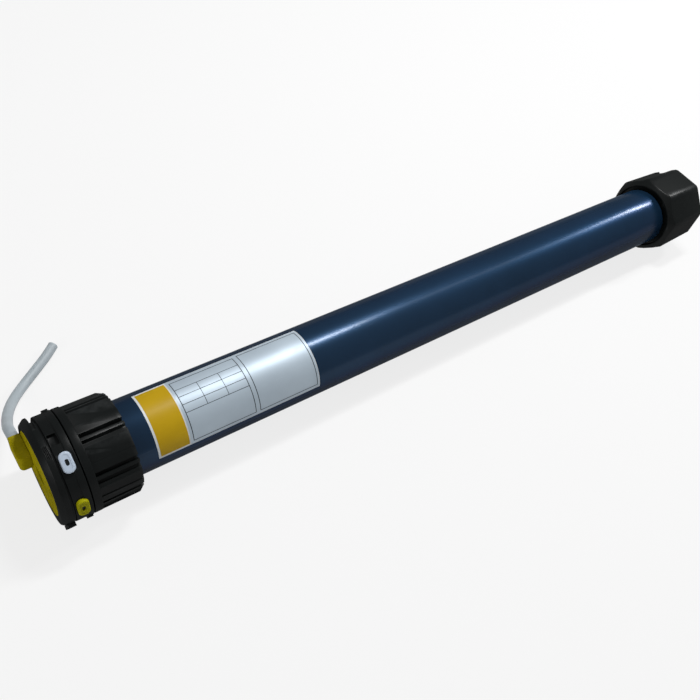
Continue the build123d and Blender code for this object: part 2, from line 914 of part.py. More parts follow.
def planet(start, face, index):
    # The tooth that points outwards meets a gap of the ring gear
    outward = 90 + 360 * index / planets
    outline = outer_gear(planet_teeth, outward) - Circle(planet_pin_radius + pivot_gap)
    return slab(start, start + face, Pos(*planet_places()[index]) * outline)


def carrier_plate(start, thickness):
    plate = rod(start, start + thickness, carrier_radius)
    for place in planet_places():
        plate -= rod(start - overrun, start + thickness + overrun, planet_pin_radius, place)
    return plate


def planet_pins(planets_start, plate_start, plate_thickness):
    return Compound([rod(planets_start, plate_start + plate_thickness, planet_pin_radius, place)
                     for place in planet_places()])


def carrier(plate_start, thickness, sun_end):
    return carrier_plate(plate_start, thickness) + slab(plate_start + thickness, sun_end,
                                                        outer_gear(sun_teeth))


def output_shaft():
    shoulder = wheel_start
    hub_end = wheel_start + wheel_hub_length
    clip = hub_end + circlip_gap
    shaft_end = clip + circlip_thickness + shaft_tail
    body = carrier_plate(output_plate_start, output_plate)
    body += rod(output_plate_start + output_plate, shoulder, output_radius)
    body += slab(shoulder, shaft_end, flatted(wheel_end_radius, wheel_flat_depth))
    return body - ring(clip, clip + circlip_thickness, wheel_end_radius - circlip_seat, output_radius)


def output_housing():
    seat = output_radius + pivot_gap + output_bush_wall
    hollow = fit_radius - output_housing_wall
    first_hub_end = housing_start + 2 * output_bush_inset + output_bush_length
    last_hub_start = tube_circlip_start - seal_width - 2 * output_bush_inset - output_bush_length
    body = rod(housing_start, tube_circlip_start, fit_radius)
    body -= rod(housing_start - overrun, tube_circlip_start + overrun, seat)
    body -= rod(first_hub_end, last_hub_start, hollow)
    seal_seat = output_radius + seal_wall
    return body - rod(tube_circlip_start - seal_width, tube_circlip_start + overrun, seal_seat)


def output_bushes():
    inner = output_radius + pivot_gap
    last = tube_circlip_start - seal_width - output_bush_inset - output_bush_length
    return Compound([ring(start, start + output_bush_length, inner, inner + output_bush_wall)
                     for start in (housing_start + output_bush_inset, last)])


def shaft_seal():
    return ring(tube_circlip_start - seal_width, tube_circlip_start,
                output_radius + pivot_gap, output_radius + seal_wall)


def tube_circlip():
    return split_ring(tube_circlip_start, tube_circlip_start + tube_circlip_width,
                      tube_bore - tube_circlip_reach, tube_bore + tube_circlip_seat,
                      tube_circlip_opening, 180)


def octagon(corner_diameter, corner_flat):
    # An octagon with its corners cut, one flat on top
    reach = corner_diameter / 2
    points = []
    for side in range(octagon_sides):
        corner = pi / 2 + radians(half_side) * (2 * side + 1)
        for step in (-1, 1):
            turn = corner + step * corner_flat / 2 / reach
            points.append((reach * cos(turn), reach * sin(turn)))
    return Polygon(*points, align=None)


def drive_wheel():
    wheel_end = wheel_start + wheel_length
    near = Plane.YZ.offset(wheel_start) * octagon(wheel_near_diameter, wheel_corner_flat)
    far = Plane.YZ.offset(wheel_end) * octagon(wheel_far_diameter, wheel_corner_flat)
    body = loft([near, far])
    slope = wheel_near_diameter - wheel_lead_diameter
    body &= turned([
        (wheel_start, 0),
        (wheel_start, wheel_lead_diameter / 2),
        (wheel_start + wheel_lead_length, wheel_lead_diameter / 2 + slope / 2),
        (wheel_start + wheel_lead_length, wheel_near_diameter),
        (wheel_end, wheel_near_diameter),
        (wheel_end, 0),
    ])
    web_end = wheel_start + wheel_web
    near_diameter = wheel_near_diameter - 2 * wheel_wall
    far_diameter = wheel_far_diameter - 2 * wheel_wall
    body -= loft([
        Plane.YZ.offset(web_end) * octagon(near_diameter, wheel_corner_flat),
        Plane.YZ.offset(wheel_end + overrun) * octagon(far_diameter, wheel_corner_flat),
    ])
    hub_end = wheel_start + wheel_hub_length
    body += rod(wheel_start, hub_end, wheel_hub_diameter / 2)
    rib_reach = far_diameter / 2 * cos(radians(half_side))
    for side in range(octagon_sides):
        rib = Rectangle(wheel_rib, rib_reach - wheel_end_radius)
        rib = Pos(0, (rib_reach + wheel_end_radius) / 2) * rib
        body += slab(web_end, hub_end - wheel_rib_inset, Rot(Z=2 * half_side * side) * rib)
    bore = flatted(wheel_end_radius + pivot_gap, wheel_flat_depth)
    body -= slab(wheel_start - overrun, hub_end + overrun, bore)
    apothem = wheel_far_diameter / 2 * cos(radians(half_side))
    notch = Box(2 * wheel_notch_length, wheel_notch_width, 2 * wheel_notch_depth)
    return body - radial(wheel_notch_angle, Pos(wheel_end, 0, apothem) * notch)


def wheel_circlip():
    start = wheel_start + wheel_hub_length + circlip_gap
    return split_ring(start, start + circlip_thickness, wheel_end_radius - circlip_seat,
                      wheel_end_radius + circlip_reach, circlip_opening, 180)


parts = {
    "head_housing": head_housing(),
    "face_cover": face_cover(),
    "cable_block": cable_block(),
    "supply_cable": supply_cable(),
    "white_button": button(white_button_angle),
    "yellow_button": button(yellow_button_angle),
    "white_button_spring": button_spring(white_button_angle),
    "yellow_button_spring": button_spring(yellow_button_angle),
    "crown": crown(),
    "crown_clip": crown_clip(),
    "motor_tube": motor_tube(),
    "head_screws": head_screw_set(),
    "rating_label": rating_label(),
    "terminal_board": terminal_board(),
    "terminal_block": terminal_block(),
    "limit_frame": limit_frame(),
    "cam_axle": cam_axle(),
    "limit_switches": limit_switches(),
    "switch_levers": switch_levers(),
    "counter_gear": counter_gear(),
    "counter_shaft": counter_shaft(),
    "limit_cam_up": limit_cam(up_gear_start, up_disc_start),
    "limit_cam_down": limit_cam(down_gear_start, down_disc_start),
    "capacitor": capacitor(),
    "capacitor_cradles": capacitor_cradles(),
    "motor_leads": motor_leads(),
    "brake_cup": brake_cup(),
    "brake_lining": brake_lining(),
    "brake_disc": brake_disc(),
    "brake_washers": brake_washers(),
    "rear_bell": bell(rear_bell_start, rear_floor, stator_start),
    "front_bell": bell(front_floor, stator_end, front_floor),
    "motor_bushes": Compound([motor_bush(rear_bell_start), motor_bush(front_floor)]),
    "stator_core": stator_core(),
    "stator_winding": stator_winding(),
    "rotor_core": rotor_core(),
    "rotor_shaft": rotor_shaft(),
    "motor_pinion": motor_pinion(),
    "ring_gear": ring_gear(),
    "first_carrier": carrier(first_plate_start, first_plate, middle_plate_start - gear_side_gap / 2),
    "middle_carrier": carrier(middle_plate_start, middle_plate, output_plate_start - gear_side_gap / 2),
    "output_shaft": output_shaft(),
    "first_pins": planet_pins(first_start, first_plate_start, first_plate),
    "middle_pins": planet_pins(middle_start, middle_plate_start, middle_plate),
    "output_pins": planet_pins(output_start, output_plate_start, output_plate),
    "output_housing": output_housing(),
    "output_bushes": output_bushes(),
    "shaft_seal": shaft_seal(),
    "tube_circlip": tube_circlip(),
    "drive_wheel": drive_wheel(),
    "wheel_circlip": wheel_circlip(),
}
stages = {
    "first": (first_start, first_face),
    "middle": (middle_start, middle_face),
    "output": (output_start, output_face),
}
for stage, (start, face) in stages.items():
    for index in range(planets):
        parts[f"{stage}_planet_{index + 1}"] = planet(start, face, index)

for name, solid in parts.items():
    export_step(solid, f"parts/{name}.step")
print(len(parts), "parts")
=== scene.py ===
import json
from math import ceil, cos, degrees, pi, radians, sin, sqrt, tan

import bpy
import bmesh
from mathutils import Matrix, Vector


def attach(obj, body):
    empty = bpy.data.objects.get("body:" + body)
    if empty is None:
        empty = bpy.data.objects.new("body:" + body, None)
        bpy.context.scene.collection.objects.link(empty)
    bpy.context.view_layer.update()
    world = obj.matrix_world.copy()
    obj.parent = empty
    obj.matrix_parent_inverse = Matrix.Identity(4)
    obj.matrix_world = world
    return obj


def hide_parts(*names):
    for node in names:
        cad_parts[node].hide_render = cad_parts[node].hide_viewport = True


# Tubular motor for a roller blind, dressed over its CAD frame.
# Lengths in the dictionaries are millimetres, but the camera, the floor's size and the lamps are in metres.
# X runs along the motor from the head to the drive wheel. An angle round the motor is counted from straight
# up, positive towards the camera's side.

mm = 0.001
# How far a cutter, or the root of a joined piece, goes past the face that it meets
past = 1.0
# Lengths below this are nothing
tiny = 1e-6
# Faces that turn by more degrees than this meet in a sharp edge
sharpTurn = 32.0
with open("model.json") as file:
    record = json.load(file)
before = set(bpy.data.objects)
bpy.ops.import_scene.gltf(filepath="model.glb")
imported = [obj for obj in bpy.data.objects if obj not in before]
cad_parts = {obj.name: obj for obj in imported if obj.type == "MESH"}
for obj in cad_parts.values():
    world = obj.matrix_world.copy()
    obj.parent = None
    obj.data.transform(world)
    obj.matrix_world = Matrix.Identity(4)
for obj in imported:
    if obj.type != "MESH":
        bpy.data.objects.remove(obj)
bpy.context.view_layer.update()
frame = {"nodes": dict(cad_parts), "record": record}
cadNodes = frame["nodes"]
scene = bpy.context.scene
print("stage: frame loaded,", len(cadNodes), "nodes")


def addObject(name, data):
    made = bpy.data.objects.new(name, data)
    scene.collection.objects.link(made)
    return made


# Camera and supply cable

cameraLook = {
    "place": (-0.03636, -0.2240, 0.3966),
    "right": (0.8053, -0.5623, 0.1881),
    "up": (0.3540, 0.7104, 0.6082),
    "back": (-0.4757, -0.4233, 0.7712),
    "lens": 38.96,
    "sensor": 36.0,
}


def makeCamera(look):
    data = bpy.data.cameras.new("photoCamera")
    data.lens = look["lens"]
    data.sensor_width = look["sensor"]
    data.clip_start = 0.01
    data.clip_end = 50
    camera = addObject("photoCamera", data)
    axes = Matrix((look["right"], look["up"], look["back"])).transposed()
    camera.rotation_mode = "QUATERNION"
    camera.rotation_quaternion = axes.to_quaternion()
    camera.location = look["place"]
    scene.camera = camera


cableLook = {
    "diameter": 6.4,
    "route": [
        (-3.5, 27.0, 0.0), (-3.5, 32.0, 0.0), (-3.6, 37.2, -2.0), (-3.0, 42.6, -6.6),
        (-0.6, 52.9, -13.6), (4.0, 64.2, -21.0), (9.6, 73.3, -26.2), (16.9, 80.9, -28.8),
        (24.8, 86.9, -29.0), (32.8, 92.9, -29.0), (39.7, 98.3, -29.0), (45.6, 103.8, -29.0),
    ],
    "length": 103.0,
    "coreDiameter": 1.9,
    "coreCircle": 2.3,
    "coreStand": 0.5,
    "wireDiameter": 1.1,
    "wireStand": 0.8,
}


def makeCable(look, sheath):
    curve = bpy.data.curves.new("supplyCable", "CURVE")
    curve.dimensions = "3D"
    spline = curve.splines.new("NURBS")
    spline.points.add(len(look["route"]) - 1)
    for point, place in zip(spline.points, look["route"]):
        point.co = [c * mm for c in place] + [1]
    spline.order_u = 3
    spline.use_endpoint_u = True
    curve.resolution_u = 10
    curve.bevel_depth = look["diameter"] / 2 * mm
    curve.bevel_resolution = 8
    curve.use_fill_caps = True
    curve.materials.append(sheath)
    return addObject("supplyCable", curve)


def cableEnds(look, insulation, copper):
    # The three cores show in the cut end
    end = Vector(look["route"][-1])
    along = (end - Vector(look["route"][-2])).normalized()
    side = along.cross(Vector((0, 0, 1))).normalized()
    over = side.cross(along)
    made = []
    for index, material in enumerate(insulation):
        turn = radians(90 + 120 * index)
        centre = end + (side * cos(turn) + over * sin(turn)) * look["coreCircle"] / 2
        core = stick("cableCore%d" % (index + 1), centre - along, centre + along * look["coreStand"],
                     look["coreDiameter"] / 2, material)
        wire = stick("cableWire%d" % (index + 1), centre, centre + along * look["wireStand"],
                     look["wireDiameter"] / 2, copper)
        made += [core, wire]
    return made


# Mesh helpers

def linkPiece(name, mesh, material, sharp=sharpTurn):
    mesh.materials.clear()
    mesh.materials.append(material)
    mesh.shade_smooth()
    mesh.set_sharp_from_angle(angle=radians(sharp))
    return addObject(name, mesh)


def meshFrom(name, points, faces, weld=1e-7):
    mesh = bpy.data.meshes.new(name)
    mesh.from_pydata([[c * mm for c in p] for p in points], [], faces)
    work = bmesh.new()
    work.from_mesh(mesh)
    bmesh.ops.remove_doubles(work, verts=work.verts, dist=weld)
    bmesh.ops.recalc_face_normals(work, faces=work.faces)
    work.to_mesh(mesh)
    work.free()
    return mesh


def roundPath(points, steps=4, straight=178.0, share=0.45):
    # Each (x, y, corner) becomes an arc of that radius, unless it is 0 or the path runs straight there
    out = []
    for i, (x, y, corner) in enumerate(points):
        p = Vector((x, y))
        a = Vector(points[i - 1][:2]) - p
        b = Vector(points[(i + 1) % len(points)][:2]) - p
        half = a.angle(b, pi) / 2
        if corner <= 0 or half > radians(straight / 2) or min(a.length, b.length) < tiny:
            out.append((x, y))
            continue
        # Two arcs on one side never meet
        reach = min(corner / tan(half), share * a.length, share * b.length)
        bow = reach * tan(half)
        start, end = p + a.normalized() * reach, p + b.normalized() * reach
        centre = p + (a.normalized() + b.normalized()).normalized() * (bow / sin(half))
        first, last = start - centre, end - centre
        sweep = first.angle(last)
        spin = 1 if first.x * last.y - first.y * last.x > 0 else -1
        for step in range(steps + 1):
            turn = spin * sweep * step / steps
            out.append((centre.x + first.x * cos(turn) - first.y * sin(turn),
                        centre.y + first.x * sin(turn) + first.y * cos(turn)))
    return out


def swing(y, z, turn):
    return y * cos(turn) - z * sin(turn), y * sin(turn) + z * cos(turn)


def lathe(name, profile, material, turns=128):
    # A closed profile of (x, radius), turned about the motor axis
    points, faces = [], []
    count = len(profile)
    for turn in range(turns):
        angle = 2 * pi * turn / turns
        for x, r in profile:
            points.append((x, -r * sin(angle), r * cos(angle)))
    for turn in range(turns):
        for i in range(count):
            j = (i + 1) % count
            if profile[i][1] < tiny and profile[j][1] < tiny:
                continue
            a, b = turn * count, (turn + 1) % turns * count
            faces.append((a + i, a + j, b + j, b + i))
    return linkPiece(name, meshFrom(name, points, faces), material)


def skin(name, rings, material, sharp=sharpTurn):
    # Quads between rings that all have the same count of points, and a flat cap at each end
    points = [p for ring in rings for p in ring]
    count = len(rings[0])
    faces = []
    for k in range(len(rings) - 1):
        for i in range(count):
            j = (i + 1) % count
            faces.append((k * count + i, k * count + j, (k + 1) * count + j, (k + 1) * count + i))
    faces.append(tuple(range(count))[::-1])
    faces.append(tuple((len(rings) - 1) * count + i for i in range(count)))
    return linkPiece(name, meshFrom(name, points, faces), material, sharp)


def prism(name, outline, start, end, material):
    # A (y, z) outline drawn along the motor
    return skin(name, [[(x, y, z) for y, z in outline] for x in (start, end)], material)


def spoke(name, outline, low, high, angle, material):
    # An (x, y) outline drawn outwards from the axis at an angle round the motor
    turn = radians(angle)
    return skin(name, [[(x, *swing(y, z, turn)) for x, y in outline] for z in (low, high)], material)


def stick(name, start, end, radius, material, sides=24):
    along = (Vector(end) - Vector(start)).normalized()
    side = along.orthogonal().normalized()
    over = along.cross(side)
    turns = [2 * pi * i / sides for i in range(sides)]
    circle = [(side * cos(turn) + over * sin(turn)) * radius for turn in turns]
    rings = [[tuple(Vector(place) + spot) for spot in circle] for place in (start, end)]
    return skin(name, rings, material)


def disc(radius, centre=(0, 0), sides=64):
    return [(centre[0] + radius * cos(2 * pi * i / sides), centre[1] + radius * sin(2 * pi * i / sides))
            for i in range(sides)]


def block(width, height, centre=(0, 0)):
    a, b = width / 2, height / 2
    return [(centre[0] - a, centre[1] - b), (centre[0] + a, centre[1] - b),
            (centre[0] + a, centre[1] + b), (centre[0] - a, centre[1] + b)]


def roundBlock(width, height, centre, corner, steps=3):
    return roundPath([(x, y, corner) for x, y in block(width, height, centre)], steps)


def roundMotor(radius, angle):
    return -radius * sin(radians(angle)), radius * cos(radians(angle))


def ringSector(inner, outer, angle, span, steps=24):
    turns = [angle - span + 2 * span * i / steps for i in range(steps + 1)]
    outside = [roundMotor(outer, turn) for turn in turns]
    return outside + [roundMotor(inner, turn) for turn in reversed(turns)]


def settle(piece, sharp=sharpTurn):
    # Modifiers become the mesh
    graph = bpy.context.evaluated_depsgraph_get()
    mesh = bpy.data.meshes.new_from_object(piece.evaluated_get(graph))
    piece.modifiers.clear()
    old = piece.data
    piece.data = mesh
    bpy.data.meshes.remove(old)
    piece.data.shade_smooth()
    piece.data.set_sharp_from_angle(angle=radians(sharp))
    return piece


def carve(piece, cutters, join=False):
    for cutter in cutters:
        change = piece.modifiers.new("carve", "BOOLEAN")
        change.operation = "UNION" if join else "DIFFERENCE"
        change.solver = "EXACT"
        change.object = cutter
    settle(piece)
    for cutter in cutters:
        mesh = cutter.data
        bpy.data.objects.remove(cutter)
        bpy.data.meshes.remove(mesh)
    return piece


def softEdges(piece, width, steps=2, above=34.0, sharp=sharpTurn):
    change = piece.modifiers.new("softEdges", "BEVEL")
    change.width = width * mm
    change.segments = steps
    change.limit_method = "ANGLE"
    change.angle_limit = radians(above)
    change.use_clamp_overlap = True
    change.harden_normals = False
    return settle(piece, sharp)


def ready(piece, body, slotName, *replaced):
    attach(piece, body)
    if replaced:
        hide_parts(*replaced)
    return piece


# Node groups that several finishes share

def newGroup(name, inputs, outputs):
    group = bpy.data.node_groups.new(name, "ShaderNodeTree")
    for label, kind, value in inputs:
        group.interface.new_socket(label, in_out="INPUT", socket_type=kind).default_value = value
    for label, kind in outputs:
        group.interface.new_socket(label, in_out="OUTPUT", socket_type=kind)
    start = group.nodes.new("NodeGroupInput")
    end = group.nodes.new("NodeGroupOutput")
    return group, start, end


def feed(tree, socket, value):
    # A socket takes another socket, a plain value, or a colour of three numbers
    if isinstance(value, bpy.types.NodeSocket):
        tree.links.new(value, socket)
    elif socket.type == "RGBA":
        socket.default_value = (*value, 1)
    else:
        socket.default_value = value


def addMath(tree, operation, first, second, clamp=False):
    node = tree.nodes.new("ShaderNodeMath")
    node.operation = operation
    node.use_clamp = clamp
    feed(tree, node.inputs[0], first)
    feed(tree, node.inputs[1], second)
    return node.outputs[0]


def addRange(tree, value, low, high, toLow=0.0, toHigh=1.0):
    node = tree.nodes.new("ShaderNodeMapRange")
    for label, given in (("Value", value), ("From Min", low), ("From Max", high), ("To Min", toLow),
                         ("To Max", toHigh)):
        feed(tree, node.inputs[label], given)
    return node.outputs["Result"]


def addNoise(tree, place, scale, detail=3.0, rough=0.5):
    node = tree.nodes.new("ShaderNodeTexNoise")
    for label, given in (("Vector", place), ("Scale", scale), ("Detail", detail), ("Roughness", rough)):
        feed(tree, node.inputs[label], given)
    return node.outputs["Fac"]


def makeGrainGroup():
    # Fine moulded or sprayed skin: small grains on broader ones
    group, start, end = newGroup("surfaceGrain", [
        ("Scale", "NodeSocketFloat", 900.0), ("Softness", "NodeSocketFloat", 0.5),
    ], [("Height", "NodeSocketFloat")])
    place = group.nodes.new("ShaderNodeTexCoord").outputs["Object"]
    fine = addNoise(group, place, start.outputs["Scale"], 2.0)
    broad = addNoise(group, place, addMath(group, "MULTIPLY", start.outputs["Scale"], 0.21), 2.0)
    mix = addMath(group, "MULTIPLY", broad, start.outputs["Softness"])
    group.links.new(addMath(group, "ADD", fine, mix), end.inputs["Height"])
    return group


def makeMarksGroup():
    # Handling marks: soft smudges and a few fine scratches that run one way
    group, start, end = newGroup("handlingMarks", [
        ("Smudges", "NodeSocketFloat", 0.5), ("Scratches", "NodeSocketFloat", 0.5),
        ("Stretch", "NodeSocketVector", (40.0, 900.0, 900.0)),
    ], [("Smudge", "NodeSocketFloat"), ("Scratch", "NodeSocketFloat")])
    place = group.nodes.new("ShaderNodeTexCoord").outputs["Object"]
    cloud = addNoise(group, place, 38.0, 5.0, 0.6)
    smudge = addMath(group, "MULTIPLY", addRange(group, cloud, 0.48, 0.72), start.outputs["Smudges"], True)
    group.links.new(smudge, end.inputs["Smudge"])
    stretch = group.nodes.new("ShaderNodeVectorMath")
    stretch.operation = "MULTIPLY"
    group.links.new(place, stretch.inputs[0])
    group.links.new(start.outputs["Stretch"], stretch.inputs[1])
    lines = addNoise(group, stretch.outputs["Vector"], 1.0, 2.0, 0.5)
    where = addRange(group, addNoise(group, place, 55.0, 2.0), 0.5, 0.66)
    scratch = addMath(group, "MULTIPLY", addRange(group, lines, 0.7, 0.76), where)
    group.links.new(addMath(group, "MULTIPLY", scratch, start.outputs["Scratches"], True),
                    end.inputs["Scratch"])
    return group


def makeWearAndSheenGroup():
    # Convex corners are painted paler: partly rubbed wear, partly a painted highlight, as corners catch more
    # light than the faces beside them
    group, start, end = newGroup("edgeWearAndSheen", [
        ("From", "NodeSocketFloat", 0.53), ("To", "NodeSocketFloat", 0.6),
        ("Amount", "NodeSocketFloat", 0.5),
    ], [("Mask", "NodeSocketFloat")])
    sharp = group.nodes.new("ShaderNodeNewGeometry").outputs["Pointiness"]
    place = group.nodes.new("ShaderNodeTexCoord").outputs["Object"]
    edge = addRange(group, sharp, start.outputs["From"], start.outputs["To"])
    broken = addRange(group, addNoise(group, place, 160.0, 4.0, 0.6), 0.35, 0.65)
    mask = addMath(group, "MULTIPLY", edge, broken)
    group.links.new(addMath(group, "MULTIPLY", mask, start.outputs["Amount"], True), end.inputs["Mask"])
    return group


grainGroup = makeGrainGroup()
marksGroup = makeMarksGroup()
wearAndSheenGroup = makeWearAndSheenGroup()


def addGroup(tree, group, values):
    node = tree.nodes.new("ShaderNodeGroup")
    node.node_tree = group
    for label, value in values.items():
        node.inputs[label].default_value = value
    return node


def addMix(tree, mask, first, second):
    node = tree.nodes.new("ShaderNodeMix")
    node.data_type = "RGBA"
    feed(tree, node.inputs[0], mask)
    feed(tree, node.inputs[6], first)
    feed(tree, node.inputs[7], second)
    return node.outputs[2]


# What a finish has where its own look says nothing else
usualLook = {
    "cloudScale": 24.0, "cloudShade": 0.4, "shadeLevel": 0.72, "paleLevel": 1.5, "paleLift": 0.02,
    "smudges": 0.4, "scratches": 0.4, "stretch": (40.0, 900.0, 900.0), "spread": 0.12,
    "wearAndSheen": 0.4, "wearDull": 0.15, "grain": 0.12, "grainScale": 900.0, "grainDepth": 0.0004,
    "metallic": 0.0, "coat": 0.0, "coatRoughness": 0.08, "coatIOR": 1.5, "specular": 0.5,
    "glint": (1, 1, 1),
}


def makeFinish(name, own):
    # One surface: its colour with smudges, scratches and paler edges that are partly rubbed wear and partly
    # painted highlight, and its grain
    look = {**usualLook, **own}
    material = bpy.data.materials.new(name)
    material.use_nodes = True
    tree = material.node_tree
    shader = tree.nodes["Principled BSDF"]
    colour = look["colour"]
    shade = look.get("shade", tuple(c * look["shadeLevel"] for c in colour))
    pale = look.get("pale", tuple(min(1, c * look["paleLevel"] + look["paleLift"]) for c in colour))
    place = tree.nodes.new("ShaderNodeTexCoord").outputs["Object"]
    cloud = addRange(tree, addNoise(tree, place, look["cloudScale"], 4.0, 0.55), 0.35, 0.65)
    part = look["cloudShade"]
    base = addMix(tree, cloud, colour, tuple((1 - part) * c + part * s for c, s in zip(colour, shade)))
    marks = addGroup(tree, marksGroup, {"Smudges": look["smudges"], "Scratches": look["scratches"],
                                        "Stretch": look["stretch"]})
    base = addMix(tree, marks.outputs["Smudge"], base, shade)
    base = addMix(tree, marks.outputs["Scratch"], base, pale)
    # Paler corners: rubbed wear and a painted edge highlight together
    wearAndSheen = addGroup(tree, wearAndSheenGroup, {"Amount": look["wearAndSheen"]})
    base = addMix(tree, wearAndSheen.outputs["Mask"], base, pale)
    rough = look["roughness"]
    smudged = addRange(tree, marks.outputs["Smudge"], 0.0, 1.0, rough, min(1, rough + look["spread"]))
    rubbed = addMath(tree, "MULTIPLY", wearAndSheen.outputs["Mask"], look["wearDull"])
    grain = addGroup(tree, grainGroup, {"Scale": look["grainScale"]})
    bump = tree.nodes.new("ShaderNodeBump")
    feed(tree, bump.inputs["Strength"], look["grain"])
    feed(tree, bump.inputs["Distance"], look["grainDepth"])
    feed(tree, bump.inputs["Height"], grain.outputs["Height"])
    for label, value in (
            ("Base Color", base), ("Roughness", addMath(tree, "ADD", smudged, rubbed)),
            ("Normal", bump.outputs["Normal"]), ("Metallic", look["metallic"]),
            ("Coat Weight", look["coat"]), ("Coat Roughness", look["coatRoughness"]),
            ("Coat IOR", look["coatIOR"]), ("Specular IOR Level", look["specular"]),
            ("Specular Tint", look["glint"])):
        feed(tree, shader.inputs[label], value)
    return material


finishLooks = {
    "blackMoulded": {"colour": (0.0065, 0.0078, 0.0078), "pale": (0.034, 0.037, 0.038), "roughness": 0.44,
                     "specular": 0.0, "coat": 0.05, "coatIOR": 2.4, "coatRoughness": 0.34,
                     "grain": 0.14, "grainScale": 1300.0, "wearAndSheen": 0.5, "smudges": 0.6, "scratches": 0.4},
    "oliveMoulded": {"colour": (0.38, 0.32, 0.004), "shade": (0.18, 0.15, 0.003), "pale": (0.5, 0.42, 0.03),
                     "roughness": 0.5, "specular": 0.0, "coat": 0.02, "coatIOR": 2.4, "coatRoughness": 0.4,
                     "grain": 0.14, "smudges": 0.6, "scratches": 0.3, "wearAndSheen": 0.3},
    "yellowMoulded": {"colour": (0.38, 0.365, 0.004), "shade": (0.27, 0.26, 0.003), "roughness": 0.4,
                      "specular": 0.0, "coat": 0.04, "coatIOR": 2.4, "coatRoughness": 0.3,
                      "grain": 0.08, "wearAndSheen": 0.2},
    "whiteMoulded": {"colour": (0.47, 0.55, 0.66), "shade": (0.35, 0.41, 0.49), "roughness": 0.36,
                     "grain": 0.08, "wearAndSheen": 0.1},
    "navyPaint": {"colour": (0.0095, 0.03, 0.066), "shade": (0.007, 0.023, 0.049),
                  "pale": (0.05, 0.08, 0.12), "roughness": 0.32, "spread": 0.08, "specular": 0.0,
                  "glint": (0.05, 0.08, 0.1), "metallic": 0.5, "coat": 0.08, "coatIOR": 2.4,
                  "coatRoughness": 0.21, "grain": 0.05, "grainScale": 420.0, "smudges": 0.3,
                  "scratches": 0.2, "wearAndSheen": 0.4},
    "labelFilm": {"colour": (0.44, 0.52, 0.59), "shade": (0.33, 0.39, 0.45), "roughness": 0.46,
                  "specular": 0.3, "metallic": 0.3, "grain": 0.03, "smudges": 0.3, "scratches": 0.2,
                  "wearAndSheen": 0.0},
    "labelBorder": {"colour": (0.66, 0.69, 0.7), "shade": (0.5, 0.53, 0.54), "roughness": 0.4,
                    "grain": 0.03, "wearAndSheen": 0.0},
    "labelOrange": {"colour": (0.5, 0.32, 0.008), "shade": (0.39, 0.24, 0.006), "pale": (0.75, 0.5, 0.08),
                    "roughness": 0.4, "specular": 0.0, "coat": 0.08, "coatIOR": 2.4, "coatRoughness": 0.36,
                    "grain": 0.03, "smudges": 0.35, "wearAndSheen": 0.0},
    "labelInk": {"colour": (0.012, 0.015, 0.02), "roughness": 0.5, "specular": 0.2, "grain": 0.0,
                 "wearAndSheen": 0.0},
    "cableSheath": {"colour": (0.37, 0.42, 0.45), "shade": (0.28, 0.31, 0.33), "roughness": 0.46,
                    "specular": 0.35, "grain": 0.06, "grainScale": 700.0, "smudges": 0.7, "scratches": 0.5,
                    "wearAndSheen": 0.0},
    "coreBrown": {"colour": (0.14, 0.06, 0.03), "roughness": 0.4},
    "coreBlue": {"colour": (0.05, 0.12, 0.42), "roughness": 0.4},
    "coreGreen": {"colour": (0.22, 0.42, 0.05), "roughness": 0.4},
    "brightSteel": {"colour": (0.56, 0.56, 0.57), "roughness": 0.3, "metallic": 1.0, "grain": 0.08,
                    "stretch": (900.0, 60.0, 60.0)},
    "platedSteel": {"colour": (0.6, 0.6, 0.57), "roughness": 0.36, "metallic": 1.0, "grain": 0.1},
    "laminations": {"colour": (0.22, 0.22, 0.23), "roughness": 0.5, "metallic": 0.9, "grain": 0.3,
                    "grainScale": 500.0},
    "copperWire": {"colour": (0.62, 0.26, 0.1), "roughness": 0.34, "metallic": 0.9, "grain": 0.4,
                   "grainScale": 420.0},
    "diecastMetal": {"colour": (0.5, 0.5, 0.51), "roughness": 0.55, "metallic": 0.9, "grain": 0.35,
                     "grainScale": 600.0},
    "bronzeBush": {"colour": (0.5, 0.34, 0.14), "roughness": 0.42, "metallic": 0.9, "grain": 0.2},
    "gearPlastic": {"colour": (0.78, 0.77, 0.71), "roughness": 0.42},
    "gearSteel": {"colour": (0.32, 0.32, 0.33), "roughness": 0.42, "metallic": 0.9, "grain": 0.25},
    "greyMoulded": {"colour": (0.26, 0.27, 0.28), "roughness": 0.45},
    "boardLaminate": {"colour": (0.06, 0.2, 0.09), "roughness": 0.35},
    "capacitorCase": {"colour": (0.74, 0.74, 0.72), "roughness": 0.3},
    "blackFoam": {"colour": (0.03, 0.03, 0.03), "roughness": 0.95, "grain": 0.6, "grainScale": 500.0},
    "leadInsulation": {"colour": (0.16, 0.07, 0.04), "roughness": 0.42},
    "brakeLining": {"colour": (0.12, 0.085, 0.06), "roughness": 0.8, "grain": 0.5},
    "sealRubber": {"colour": (0.02, 0.02, 0.02), "roughness": 0.6},
}
finishes = {name: makeFinish(name, look) for name, look in finishLooks.items()}

# The CAD's own pieces take their finish by material slot
slotFinishes = {
    "black_plastic": "blackMoulded", "dull_yellow_plastic": "oliveMoulded",
    "bright_yellow_plastic": "yellowMoulded", "white_plastic": "whiteMoulded",
    "navy_paint": "navyPaint", "label_film": "labelFilm", "cable_sheath": "cableSheath",
    "spring_steel": "brightSteel", "steel": "brightSteel", "zinc_plated_steel": "platedSteel",
    "sheet_steel_laminations": "laminations", "copper_winding": "copperWire",
    "diecast": "diecastMetal", "bronze": "bronzeBush", "gear_plastic": "gearPlastic",
    "gear_steel": "gearSteel", "grey_plastic": "greyMoulded", "circuit_board": "boardLaminate",
    "capacitor_case": "capacitorCase", "foam": "blackFoam", "lead_insulation": "leadInsulation",
    "friction_lining": "brakeLining", "seal_rubber": "sealRubber",
}


def finishCadNodes():
    slotOf = {part["node"]: part["material_slot"] for part in frame["record"]["subparts"]}
    for name, node in cadNodes.items():
        node.data.materials.clear()
        node.data.materials.append(finishes[slotFinishes[slotOf[name]]])


